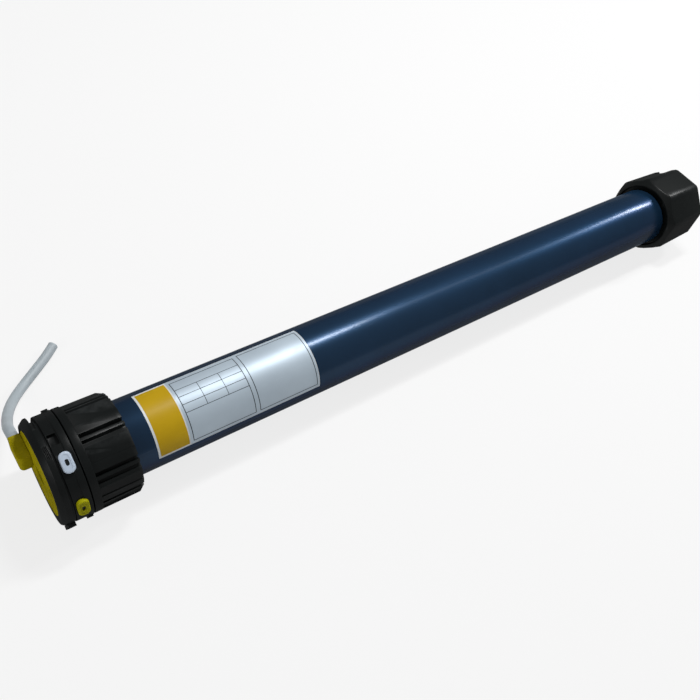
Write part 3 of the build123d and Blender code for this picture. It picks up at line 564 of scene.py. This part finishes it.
makeCamera(cameraLook)
finishCadNodes()
cable = makeCable(cableLook, finishes["cableSheath"])
cores = cableEnds(cableLook, [finishes[n] for n in ("coreBrown", "coreBlue", "coreGreen")],
                  finishes["copperWire"])
ready(cable, "motor_body", "cable_sheath", "supply_cable")
for core in cores:
    ready(core, "motor_body", "lead_insulation")
print("stage: camera and cable")


# Head: housing, face cover, cable block and buttons

headLook = {
    "faceRadius": 29.8, "rimRadius": 32.4, "rimSlope": 3.2, "rimLength": 6.5, "grooveRadius": 30.8,
    "grooveEnd": 7.6, "neckRadius": 31.5, "neckEnd": 13.3, "collarRadius": 32.0, "collarSlope": 0.4,
    "collarEnd": 17.5, "spigotRadius": 21.95, "spigotBore": 20.45, "spigotEnd": 60.0, "spigotFloor": 3.0,
    "coverSeat": 27.0, "coverDepth": 2.6, "softEdge": 0.18,
}


def makeHead(look):
    # Each row has a place along the motor, a radius, and the corner's own radius
    floor = look["collarEnd"] - look["spigotFloor"]
    profile = roundPath([
        (look["coverDepth"], 0.0, 0),
        (look["coverDepth"], look["coverSeat"], 0),
        (0.0, look["coverSeat"], 0.2),
        (0.0, look["faceRadius"], 0.9),
        (look["rimSlope"], look["rimRadius"], 1.4),
        (look["rimLength"], look["rimRadius"], 0.45),
        (look["rimLength"], look["grooveRadius"], 0.2),
        (look["grooveEnd"], look["grooveRadius"], 0.2),
        (look["grooveEnd"], look["neckRadius"], 0.35),
        (look["neckEnd"], look["neckRadius"], 0.2),
        (look["neckEnd"] + look["collarSlope"], look["collarRadius"], 0.3),
        (look["collarEnd"], look["collarRadius"], 0.4),
        (look["collarEnd"], look["spigotRadius"], 0.2),
        (look["spigotEnd"], look["spigotRadius"], 0.3),
        (look["spigotEnd"], look["spigotBore"], 0.2),
        (floor, look["spigotBore"], 0),
        (floor, 0.0, 0),
    ])
    return lathe("headHousing", profile, finishes["blackMoulded"], turns=160)


buttonLook = {
    "centre": 12.0, "axial": 6.6, "around": 12.0, "corner": 3.1, "gap": 0.2, "capBase": 29.7, "top": 33.3,
    "edge": 0.8, "dishDepth": 0.2, "dishInset": 1.5, "slotWidth": 2.0, "slotLength": 3.6, "slotCorner": 0.98,
    "slotDepth": 1.4, "screwGap": 0.02, "screwRise": 0.5, "wellFloor": 26.8,
    "angles": {"white": 28.5, "yellow": 80.5},
}


def buttonOutline(look, grow=0.0):
    return roundBlock(look["axial"] + 2 * grow, look["around"] + 2 * grow, (look["centre"], 0),
                      look["corner"] + grow, 8)


def slotOutline(look, grow=0.0):
    return roundBlock(look["slotWidth"] + 2 * grow, look["slotLength"] + 2 * grow, (look["centre"], 0),
                      look["slotCorner"] + grow, 6)


def makeButton(look, name, angle, material):
    # The cap with its dished top, and the dark screw at the bottom of its slot
    floor = look["top"] - look["slotDepth"]
    cap = spoke(name, buttonOutline(look), look["capBase"], look["top"], angle, material)
    softEdges(cap, look["edge"], steps=4)
    dish = spoke("dish", buttonOutline(look, -look["dishInset"]), look["top"] - look["dishDepth"],
                 look["top"] + past, angle, material)
    slot = spoke("slot", slotOutline(look), floor, look["top"] + past, angle, material)
    carve(cap, [dish, slot])
    screw = spoke(name + "Screw", slotOutline(look, -look["screwGap"]), floor, floor + look["screwRise"],
                  angle, finishes["blackMoulded"])
    return cap, screw


# Blocks on the head or cut into it, each from below to above one of its radii
detailLook = {
    "pad": {"on": "rimRadius", "below": 1.2, "above": 1.2, "angles": [116.0],
            "start": 1.6, "length": 4.9, "width": 14.0, "corner": 0.7},
    "lug": {"on": "collarRadius", "below": 2.0, "above": 0.8, "angles": [-57.0, 115.5],
            "start": 13.7, "length": 3.0, "width": 8.0, "corner": 0.6},
    "window": {"on": "neckRadius", "below": 2.6, "above": 2 * past, "angles": [2.0],
               "start": 8.2, "length": 4.8, "width": 7.4, "corner": 0.6},
    "notch": {"on": "rimRadius", "below": 1.0, "above": past, "angles": [-24.0],
              "start": 4.1, "length": 1.6, "width": 9.0, "corner": 0},
}

gripLook = {
    "angle": 13.0, "count": 3, "start": 4.0, "pitch": 0.8, "length": 0.66, "width": 7.4, "depth": 0.6,
}
dipLook = {"angle": -57.0, "start": 4.4, "end": 7.4, "span": 27.0, "depth": 3.4}
plugLook = {"inner": 11.0, "length": 10.0, "height": 8.0, "reach": 14.6, "sink": 0.5}

coverLook = {
    "radius": 26.9, "edge": 0.7, "thickness": 2.6, "socketRadius": 6.0, "socketWall": 8.2,
    "socketDepth": 8.5, "socketEnd": 9.7, "screwCircle": 43.0, "screwAngle": 60.7, "screws": 4,
    "holeRadius": 2.7, "softEdge": 0.3,
    "lipAngle": 138.0, "lipWidth": 2.6, "lipSpan": 76.0, "lipSteps": 16, "lipGap": 0.15, "lipStart": 0.1,
    "lipSink": 0.3, "lipRoot": 0.5,
}


def plugOutline(look):
    return block(look["length"], look["height"], (look["inner"] + look["length"] / 2, 0))


def faceLip(look, outer, gap=0.0):
    # A crescent of the housing covers the lower edge of the face
    inside, outside = [], []
    for step in range(-look["lipSteps"], look["lipSteps"] + 1):
        turn = look["lipSpan"] * step / look["lipSteps"]
        shift = look["lipWidth"] * cos(radians(turn))
        reach = sqrt(look["radius"] ** 2 - (look["lipWidth"] * sin(radians(turn))) ** 2) - shift + gap
        inside.append(roundMotor(reach, look["lipAngle"] + turn))
        outside.append(roundMotor(outer, look["lipAngle"] + turn))
    return outside + inside[::-1]


def headBlocks(name, shell):
    look = detailLook[name]
    centre = (look["start"] + look["length"] / 2, 0)
    outline = roundBlock(look["length"], look["width"], centre, look["corner"])
    low, high = shell[look["on"]] - look["below"], shell[look["on"]] + look["above"]
    return [spoke(name, outline, low, high, angle, finishes["blackMoulded"]) for angle in look["angles"]]


def headGrips(look, shell):
    # Short grooves in a row along the rim
    made = []
    for index in range(look["count"]):
        outline = block(look["length"], look["width"], (look["start"] + look["pitch"] * index, 0))
        made.append(spoke("grip", outline, shell["rimRadius"] - look["depth"], shell["rimRadius"] + past,
                          look["angle"], finishes["blackMoulded"]))
    return made


def headDip(look, shell):
    # A shallow stretch of the rim, behind the top
    sector = ringSector(shell["rimRadius"] - look["depth"], shell["rimRadius"] + past, look["angle"],
                        look["span"])
    return prism("dip", sector, look["start"], look["end"], finishes["blackMoulded"])


def carveHead(head, shell, button, face):
    black = finishes["blackMoulded"]
    lip = prism("lip", faceLip(face, shell["coverSeat"] + face["lipSink"], face["lipGap"]),
                face["lipStart"], shell["coverDepth"] + face["lipRoot"], black)
    carve(head, [*headBlocks("pad", shell), *headBlocks("lug", shell), lip], join=True)
    wells = [spoke("well", buttonOutline(button, button["gap"]), button["wellFloor"],
                   button["top"] + 2 * past, angle, black) for angle in button["angles"].values()]
    return carve(head, [*wells, *headBlocks("window", shell), *headGrips(gripLook, shell),
                        headDip(dipLook, shell), *headBlocks("notch", shell)])


def makeCover(look, plug):
    olive, back = finishes["oliveMoulded"], look["thickness"] + past
    profile = roundPath([
        (0.0, look["socketRadius"], 0.35), (0.0, look["radius"], look["edge"]),
        (look["thickness"], look["radius"], 0), (look["thickness"], look["socketWall"], 0),
        (look["socketEnd"], look["socketWall"], 0), (look["socketEnd"], 0.0, 0),
        (look["socketDepth"], 0.0, 0), (look["socketDepth"], look["socketRadius"], 0.2),
    ])
    cover = lathe("faceCover", profile, olive)
    cutters = []
    for index in range(look["screws"]):
        place = roundMotor(look["screwCircle"] / 2, look["screwAngle"] + 360 * index / look["screws"])
        cutters.append(prism("hole", disc(look["holeRadius"], place, 40), -past, back, olive))
    cutters.append(prism("plugHole", plugOutline(plug), -past, back, olive))
    cutters.append(prism("lip", faceLip(look, look["radius"] + 2 * past), -past, back, olive))
    return carve(cover, cutters)


blockLook = {
    "inner": 10.0, "outer": 27.0, "height": 12.5, "stand": 7.0, "innerCorner": 2.6, "outerCorner": 0.8,
    "edge": 0.5,
}


def makeCableBlock(look, plug):
    outline = roundPath([
        (-look["stand"], look["inner"], look["innerCorner"]), (0, look["inner"], 0),
        (0, look["outer"], 0), (-look["stand"], look["outer"], look["outerCorner"]),
    ], 6)
    rings = [[(x, y, side * look["height"] / 2) for x, y in outline] for side in (-1, 1)]
    body = skin("cableBlock", rings, finishes["oliveMoulded"])
    softEdges(body, look["edge"], steps=3)
    pin = prism("plug", plugOutline(plug), -plug["sink"], plug["reach"], finishes["oliveMoulded"])
    return carve(body, [pin], join=True)


head = carveHead(makeHead(headLook), headLook, buttonLook, coverLook)
softEdges(head, headLook["softEdge"], above=40)
ready(head, "motor_body", "black_plastic", "head_housing")
cover = makeCover(coverLook, plugLook)
softEdges(cover, coverLook["softEdge"], above=50)
ready(cover, "motor_body", "dull_yellow_plastic", "face_cover")
ready(makeCableBlock(blockLook, plugLook), "motor_body", "dull_yellow_plastic", "cable_block")
for colour, finish, slotName in (("white", "whiteMoulded", "white_plastic"),
                                 ("yellow", "yellowMoulded", "bright_yellow_plastic")):
    button, screw = makeButton(buttonLook, colour + "Button", buttonLook["angles"][colour], finishes[finish])
    ready(button, colour + "_button_body", slotName, colour + "_button")
    ready(screw, colour + "_button_body", "black_plastic")
print("stage: head")


# Crown

crownLook = {
    "start": 18.1, "flangeEnd": 22.8, "flangeRadius": 31.7, "flangeCorner": 0.5, "end": 47.7,
    "apothem": 29.2, "bore": 23.75, "leadLength": 2.4, "leadDepth": 2.0, "sides": 8, "edge": 0.28,
    "stripRise": 0.45, "slotDepth": 3.6, "ribRise": 0.2, "grooveDrop": 2.6, "bandDrop": 0.9,
    "stripShare": -0.21, "slotStartShare": 0.25, "slotEndShare": 0.46, "ribEndShare": 0.62,
    "grooveEndShare": 0.83,
    "teeth": 60, "module": 0.8, "tipDrop": 0.84, "rootRise": 0.64, "tipShare": 0.36, "rootShare": 0.13,
    "gearEnd": 24.4, "clipStart": 43.2, "clipEnd": 45.0, "clipRadius": 25.0,
}


def crownOutline(look):
    # Each flat in steps: a raised strip, a slot, a rib and a groove, at shares of its half width
    half = pi / look["sides"]
    halfFlat = look["apothem"] * tan(half)
    flat = [
        (-1, 0), (look["stripShare"], 0), (look["stripShare"], look["stripRise"]),
        (look["slotStartShare"], look["stripRise"]), (look["slotStartShare"], -look["slotDepth"]),
        (look["slotEndShare"], -look["slotDepth"]), (look["slotEndShare"], look["ribRise"]),
        (look["ribEndShare"], look["ribRise"]), (look["ribEndShare"], -look["grooveDrop"]),
        (look["grooveEndShare"], -look["grooveDrop"]), (look["grooveEndShare"], -look["bandDrop"]),
    ]
    points = []
    for side in range(look["sides"]):
        turn = pi / 2 + 2 * half * side
        for share, rise in flat:
            points.append(swing(look["apothem"] + rise, halfFlat * share, turn))
        corner = turn + half
        reach = (look["apothem"] - look["bandDrop"]) / cos(half)
        points.append((reach * cos(corner), reach * sin(corner)))
    return points


def toothOutline(look):
    # A cutter whose teeth are the gaps between the crown's own
    pitch = look["teeth"] * look["module"] / 2
    low, high = pitch - look["tipDrop"], pitch + look["rootRise"]
    tip, root = look["tipShare"], look["rootShare"]
    points = []
    for tooth in range(look["teeth"]):
        for share, radius in ((-tip, low), (-root, high), (root, high), (tip, low)):
            turn = pi / 2 + 2 * pi * (tooth + share) / look["teeth"]
            points.append((radius * cos(turn), radius * sin(turn)))
    return points


def makeCrown(look):
    black = finishes["blackMoulded"]
    outline = crownOutline(look)
    limit = look["apothem"] / cos(pi / look["sides"]) - look["leadDepth"]
    lead = []
    for y, z in outline:
        radius = (y * y + z * z) ** 0.5
        share = min(1, limit / radius)
        lead.append((y * share, z * share))
    rings = []
    for x, ring in ((look["flangeEnd"] - past, outline), (look["end"] - look["leadLength"], outline),
                    (look["end"], lead)):
        rings.append([(x, y, z) for y, z in ring])
    crown = skin("crown", rings, black)
    profile = roundPath([
        (look["start"], 0.0, 0), (look["start"], look["flangeRadius"], look["flangeCorner"]),
        (look["flangeEnd"], look["flangeRadius"], look["flangeCorner"]), (look["flangeEnd"], 0.0, 0),
    ])
    carve(crown, [lathe("flange", profile, black, turns=160)], join=True)
    softEdges(crown, look["edge"], above=38)
    bore = prism("bore", disc(look["bore"], sides=128), look["start"] - past, look["end"] + past, black)
    teeth = prism("teeth", toothOutline(look), look["start"] - past, look["gearEnd"], black)
    groove = prism("groove", disc(look["clipRadius"], sides=96), look["clipStart"], look["clipEnd"], black)
    return carve(crown, [bore, teeth, groove])


ready(makeCrown(crownLook), "crown_body", "black_plastic", "crown")
print("stage: crown")


# Motor tube and its rating label

tubeLook = {
    "radius": 23.5, "bore": 22.0, "start": 24.4, "end": 530.2, "edge": 0.5, "innerEdge": 0.2,
    "dimples": [(264.5, -29.0), (485.0, -28.5)], "dimpleBall": 5.0, "dimpleDepth": 0.5, "dimpleSteps": 24,
    "sharp": 20.0,
}


def makeTube(look):
    profile = roundPath([
        (look["start"], look["bore"], look["innerEdge"]), (look["start"], look["radius"], look["edge"]),
        (look["end"], look["radius"], look["edge"]), (look["end"], look["bore"], look["innerEdge"]),
    ])
    # Rings beside each dimple keep the long faces of the tube from bending there
    outer = profile.index(max(profile, key=lambda p: (p[1], -p[0]))) + 1
    for x, _ in sorted(look["dimples"], reverse=True):
        for side in (1, -1):
            profile.insert(outer, (x + side * look["dimpleBall"], look["radius"]))
    tube = lathe("motorTube", profile, finishes["navyPaint"], turns=192)
    balls = []
    radius, steps = look["dimpleBall"], look["dimpleSteps"]
    for x, angle in look["dimples"]:
        arc = [(x + radius * cos(pi * i / steps), radius * sin(pi * i / steps)) for i in range(steps + 1)]
        ball = lathe("dimple", arc, finishes["navyPaint"], turns=2 * steps)
        y, z = roundMotor(look["radius"] + radius - look["dimpleDepth"], angle)
        ball.location = (0, y * mm, z * mm)
        balls.append(ball)
    bpy.context.view_layer.update()
    return settle(carve(tube, balls), look["sharp"])


labelLook = {
    "start": 60.0, "end": 171.4, "from": -31.2, "to": 81.4, "radius": 23.54, "thickness": 0.12,
    "border": 1.3, "bandEnd": 79.5, "bandGap": 0.8, "inset": 0.3, "lift": 0.03, "bendStep": 0.8,
    "inkWidth": 0.48, "fineWidth": 0.34,
    "boxes": [((22.0, 3.0), (64.5, 44.0)), ((67.2, 2.4), (109.7, 44.0))],
    "rows": [(22.0, 64.5, 10.0), (22.0, 64.5, 15.1), (22.0, 64.5, 20.2), (22.0, 64.5, 25.2)],
    "columns": [(36.2, 10.0, 25.2), (50.3, 10.0, 25.2)],
}


def sheetPoint(look, u, v, lift):
    # u runs along the motor, v round it from the top edge of the label, both in millimetres
    radius = look["radius"] + lift
    angle = look["from"] + degrees(v / look["radius"])
    y, z = roundMotor(radius, angle)
    return (look["start"] + u, y, z)


def bentPatch(look, low, high, lift):
    # A rectangle of the label, bent round the tube
    steps = max(1, ceil((high[1] - low[1]) / look["bendStep"]))
    points, faces = [], []
    for step in range(steps + 1):
        v = low[1] + (high[1] - low[1]) * step / steps
        points.append(sheetPoint(look, low[0], v, lift))
        points.append(sheetPoint(look, high[0], v, lift))
    for step in range(steps):
        a = 2 * step
        faces.append((a, a + 1, a + 3, a + 2))
    return points, faces


def joinPatches(name, patches, material):
    points, faces = [], []
    for some, rows in patches:
        first = len(points)
        points += some
        faces += [tuple(first + i for i in row) for row in rows]
    mesh = bpy.data.meshes.new(name)
    mesh.from_pydata([[c * mm for c in p] for p in points], [], faces)
    mesh.update()
    return linkPiece(name, mesh, material)


def frameLines(look, low, high, width, lift):
    # Four bars round a rectangle
    (a, b), (c, d) = low, high
    return [bentPatch(look, (a, b), (c, b + width), lift), bentPatch(look, (a, d - width), (c, d), lift),
            bentPatch(look, (a, b + width), (a + width, d - width), lift),
            bentPatch(look, (c - width, b + width), (c, d - width), lift)]


def labelSize(look):
    # Flat, before it is bent round the tube
    return look["end"] - look["start"], radians(look["to"] - look["from"]) * look["radius"]


def makeLabel(look):
    width, height = labelSize(look)
    top = look["thickness"]
    points, faces = [], []
    steps = ceil(height / look["bendStep"])
    for step in range(steps + 1):
        v = height * step / steps
        for u, lift in ((0, 0), (width, 0), (width, top), (0, top)):
            points.append(sheetPoint(look, u, v, lift))
    for step in range(steps):
        a = 4 * step
        for i in range(4):
            j = (i + 1) % 4
            faces.append((a + i, a + j, a + 4 + j, a + 4 + i))
    faces.append((0, 1, 2, 3))
    faces.append(tuple(4 * steps + i for i in range(4)))
    return linkPiece("ratingLabel", meshFrom("ratingLabel", points, faces), finishes["labelBorder"])


def makePrint(look):
    # The band and the plain area lie on the sheet, and the ruled lines on them
    width, height = labelSize(look)
    border, inset, lift = look["border"], look["inset"], look["thickness"] + look["lift"]
    bandWidth = look["bandEnd"] - look["start"]
    bandPatch = bentPatch(look, (border, border), (bandWidth, height - border), lift)
    band = joinPatches("labelBand", [bandPatch], finishes["labelOrange"])
    areaPatch = bentPatch(look, (bandWidth + look["bandGap"], inset), (width - inset, height - inset), lift)
    area = joinPatches("labelArea", [areaPatch], finishes["labelFilm"])
    lines = []
    lift += look["lift"]
    for low, high in look["boxes"]:
        lines += frameLines(look, low, high, look["inkWidth"], lift)
    fine = look["fineWidth"]
    for left, right, v in look["rows"]:
        lines.append(bentPatch(look, (left, v), (right, v + fine), lift))
    for u, high, low in look["columns"]:
        lines.append(bentPatch(look, (u, high), (u + fine, low), lift))
    ruled = joinPatches("labelRules", lines, finishes["labelInk"])
    return band, area, ruled


ready(makeTube(tubeLook), "motor_body", "navy_paint", "motor_tube")
ready(makeLabel(labelLook), "motor_body", "label_film", "rating_label")
for printed in makePrint(labelLook):
    ready(printed, "motor_body", "label_film")
print("stage: tube and label")


# Drive wheel

wheelLook = {
    "start": 531.0, "length": 45.0, "nearRadius": 32.5, "farRadius": 30.9, "cornerFlat": 2.4,
    "leadRadius": 27.8, "leadLength": 5.0, "wall": 2.6, "web": 5.0, "hubRadius": 11.5,
    "hubLength": 36.0, "shaftRadius": 6.05, "sides": 8,
    "rib": 2.0, "ribStart": 7.0, "ribSink": 0.8, "ribRoot": 0.5, "ribInset": 4.0,
    "notchAngle": -45.0, "notchLength": 11.0, "notchWidth": 12.0, "notchDepth": 3.2,
    "notchCorner": 0.8, "edge": 0.45, "sharp": 24.0,
    "flatSteps": 10, "cornerSteps": 2, "leadSteps": 8,
    "dishInner": 12.5, "dishOuter": 26.9, "dishDepth": 3.4, "dishDraft": 0.8,
}


def wheelRing(look, radius, limit=None):
    # The octagon with cut corners, its flats divided so that the lead-in can round it
    half = pi / look["sides"]
    corners = []
    for side in range(look["sides"]):
        corner = pi / 2 + half + 2 * half * side
        for step in (-1, 1):
            turn = corner + step * look["cornerFlat"] / 2 / radius
            corners.append((radius * cos(turn), radius * sin(turn)))
    points = []
    for i, here in enumerate(corners):
        there = corners[(i + 1) % len(corners)]
        steps = look["flatSteps"] if i % 2 else look["cornerSteps"]
        for step in range(steps):
            y = here[0] + (there[0] - here[0]) * step / steps
            z = here[1] + (there[1] - here[1]) * step / steps
            share = 1 if limit is None else min(1, limit / (y * y + z * z) ** 0.5)
            points.append((y * share, z * share))
    return points


def wheelRadius(look, x):
    # The wheel tapers away from the tube
    taper = look["farRadius"] - look["nearRadius"]
    return look["nearRadius"] + taper * (x - look["start"]) / look["length"]


def wheelShell(look):
    start, end = look["start"], look["start"] + look["length"]
    rings = []
    for step in range(look["leadSteps"] + 1):
        x = start + look["leadLength"] * step / look["leadSteps"]
        limit = look["leadRadius"] + (look["nearRadius"] - look["leadRadius"]) * step / look["leadSteps"]
        rings.append([(x, y, z) for y, z in wheelRing(look, wheelRadius(look, x), limit)])
    rings.append([(end, y, z) for y, z in wheelRing(look, wheelRadius(look, end))])
    return skin("driveWheel", rings, finishes["blackMoulded"], look["sharp"])


def wheelCutters(look):
    black = finishes["blackMoulded"]
    start, end = look["start"], look["start"] + look["length"]
    inner = [[(x, y, z) for y, z in wheelRing(look, wheelRadius(look, x) - look["wall"])]
             for x in (start + look["web"], end + past)]
    cup = skin("cup", inner, black)
    apothem = look["farRadius"] * cos(pi / look["sides"])
    outline = roundBlock(2 * look["notchLength"], look["notchWidth"], (end, 0), look["notchCorner"])
    notch = spoke("notch", outline, apothem - look["notchDepth"], apothem + 3 * past, look["notchAngle"],
                  black)
    dish = lathe("dish", [(start - past, look["dishInner"]), (start - past, look["dishOuter"]),
                          (start + look["dishDepth"], look["dishOuter"] - look["dishDraft"]),
                          (start + look["dishDepth"], look["dishInner"])], black, turns=96)
    return [cup, notch, dish]


def wheelHub(look, hubEnd):
    # The hub, and the ribs that hold it in the cup
    black = finishes["blackMoulded"]
    inside = look["start"] + look["web"]
    reach = (look["farRadius"] - look["wall"] + look["ribSink"]) * cos(pi / look["sides"])
    outline = block(look["rib"], reach - look["ribStart"], (0, (reach + look["ribStart"]) / 2))
    made = [prism("hub", disc(look["hubRadius"], sides=96), look["start"] + look["web"] / 2, hubEnd, black)]
    for side in range(look["sides"]):
        rib = [swing(y, z, 2 * pi * side / look["sides"]) for y, z in outline]
        made.append(prism("rib", rib, inside - look["ribRoot"], hubEnd - look["ribInset"], black))
    return made


def makeWheel(look):
    hubEnd = look["start"] + look["hubLength"]
    wheel = carve(wheelShell(look), wheelCutters(look))
    carve(wheel, wheelHub(look, hubEnd), join=True)
    softEdges(wheel, look["edge"], above=30, sharp=look["sharp"])
    bore = prism("bore", disc(look["shaftRadius"], sides=64), look["start"] - past, hubEnd + past,
                 finishes["blackMoulded"])
    return carve(wheel, [bore])


ready(makeWheel(wheelLook), "output_body", "black_plastic", "drive_wheel")
print("stage: drive wheel")


# Floor, light and world

stageLook = {
    "floorHeight": -32.4, "floorFrom": 6.5, "floorSlope": 0.00447, "floorSize": 6.0,
    "floorColour": (0.6, 0.6, 0.6), "floorRoughness": 0.9, "floorSpecular": 0.1, "floorGlow": 0.8,
    "horizon": 0.26, "zenith": 0.16, "gradientEnd": 0.3, "mirrorLevel": 0.4,
    # Three strips in one line overhead give the tube its highlight, bright at both ends
    "strips": {
        "nearStrip": {"place": (0.54, 0.2, 0.95), "size": (0.3, 0.09), "power": 8.6},
        "middleStrip": {"place": (1.14, 0.13, 0.95), "size": (0.66, 0.09), "power": 0.6},
        "farStrip": {"place": (1.9, 0.105, 0.95), "size": (0.56, 0.09), "power": 30.0},
    },
    "stripTurn": -6.0,
    "front": {"place": (-1.1, -0.35, 0.7), "size": (0.7, 0.7), "power": 6.0, "aim": (0.0, 0.0, 0.0)},
}


def seenRays(tree):
    # The rays that show the background: straight from the camera, and off gloss or through glass
    path = tree.nodes.new("ShaderNodeLightPath")
    mirrored = addMath(tree, "ADD", path.outputs["Is Glossy Ray"], path.outputs["Is Transmission Ray"], True)
    return path.outputs["Is Camera Ray"], mirrored


def makeFloor(look):
    half = look["floorSize"] / 2
    points = []
    for x, y in ((-half, -half), (half, -half), (half, half), (-half, half)):
        z = look["floorHeight"] * mm + look["floorSlope"] * (x - look["floorFrom"] * mm)
        points.append((x, y, z))
    mesh = bpy.data.meshes.new("floor")
    mesh.from_pydata(points, [], [(0, 1, 2, 3)])
    floor = addObject("floor", mesh)
    material = bpy.data.materials.new("paleFloor")
    material.use_nodes = True
    tree = material.node_tree
    shader = tree.nodes["Principled BSDF"]
    feed(tree, shader.inputs["Base Color"], look["floorColour"])
    feed(tree, shader.inputs["Roughness"], look["floorRoughness"])
    feed(tree, shader.inputs["Specular IOR Level"], look["floorSpecular"])
    glow = tree.nodes.new("ShaderNodeEmission")
    mix = tree.nodes.new("ShaderNodeMixShader")
    seen = addMath(tree, "ADD", *seenRays(tree), True)
    tree.links.new(addRange(tree, seen, 0.0, 1.0, 0.0, look["floorGlow"]), mix.inputs[0])
    tree.links.new(shader.outputs[0], mix.inputs[1])
    tree.links.new(glow.outputs[0], mix.inputs[2])
    tree.links.new(mix.outputs[0], tree.nodes["Material Output"].inputs["Surface"])
    mesh.materials.append(material)


def makeLight(name, look):
    # Without a turn of its own it shines straight down
    data = bpy.data.lights.new(name, "AREA")
    data.shape = "RECTANGLE"
    data.size, data.size_y = look["size"]
    data.energy = look["power"]
    light = addObject(name, data)
    light.location = look["place"]
    return light


def makeLights(look):
    for name, strip in look["strips"].items():
        makeLight(name, strip).rotation_euler.z = radians(look["stripTurn"])
    front = look["front"]
    towards = Vector(front["aim"]) - Vector(front["place"])
    makeLight("frontBox", front).rotation_euler = towards.to_track_quat("-Z", "Y").to_euler()


def makeWorld(look):
    # A gradient lights the object, gloss shows a pale grey, and the camera sees white
    world = bpy.data.worlds.new("studio")
    world.use_nodes = True
    scene.world = world
    tree = world.node_tree
    background = tree.nodes["Background"]
    feed(tree, background.inputs["Color"], (1, 1, 1))
    direction = tree.nodes.new("ShaderNodeSeparateXYZ")
    tree.links.new(tree.nodes.new("ShaderNodeTexCoord").outputs["Generated"], direction.inputs[0])
    sky = addRange(tree, direction.outputs["Z"], 0.0, look["gradientEnd"], look["horizon"], look["zenith"])
    seen, mirrored = seenRays(tree)
    level = addRange(tree, mirrored, 0.0, 1.0, sky, look["mirrorLevel"])
    tree.links.new(addRange(tree, seen, 0.0, 1.0, level, 1.0), background.inputs["Strength"])


makeFloor(stageLook)
makeLights(stageLook)
makeWorld(stageLook)
scene.view_settings.view_transform = "Standard"

print("stage: done")
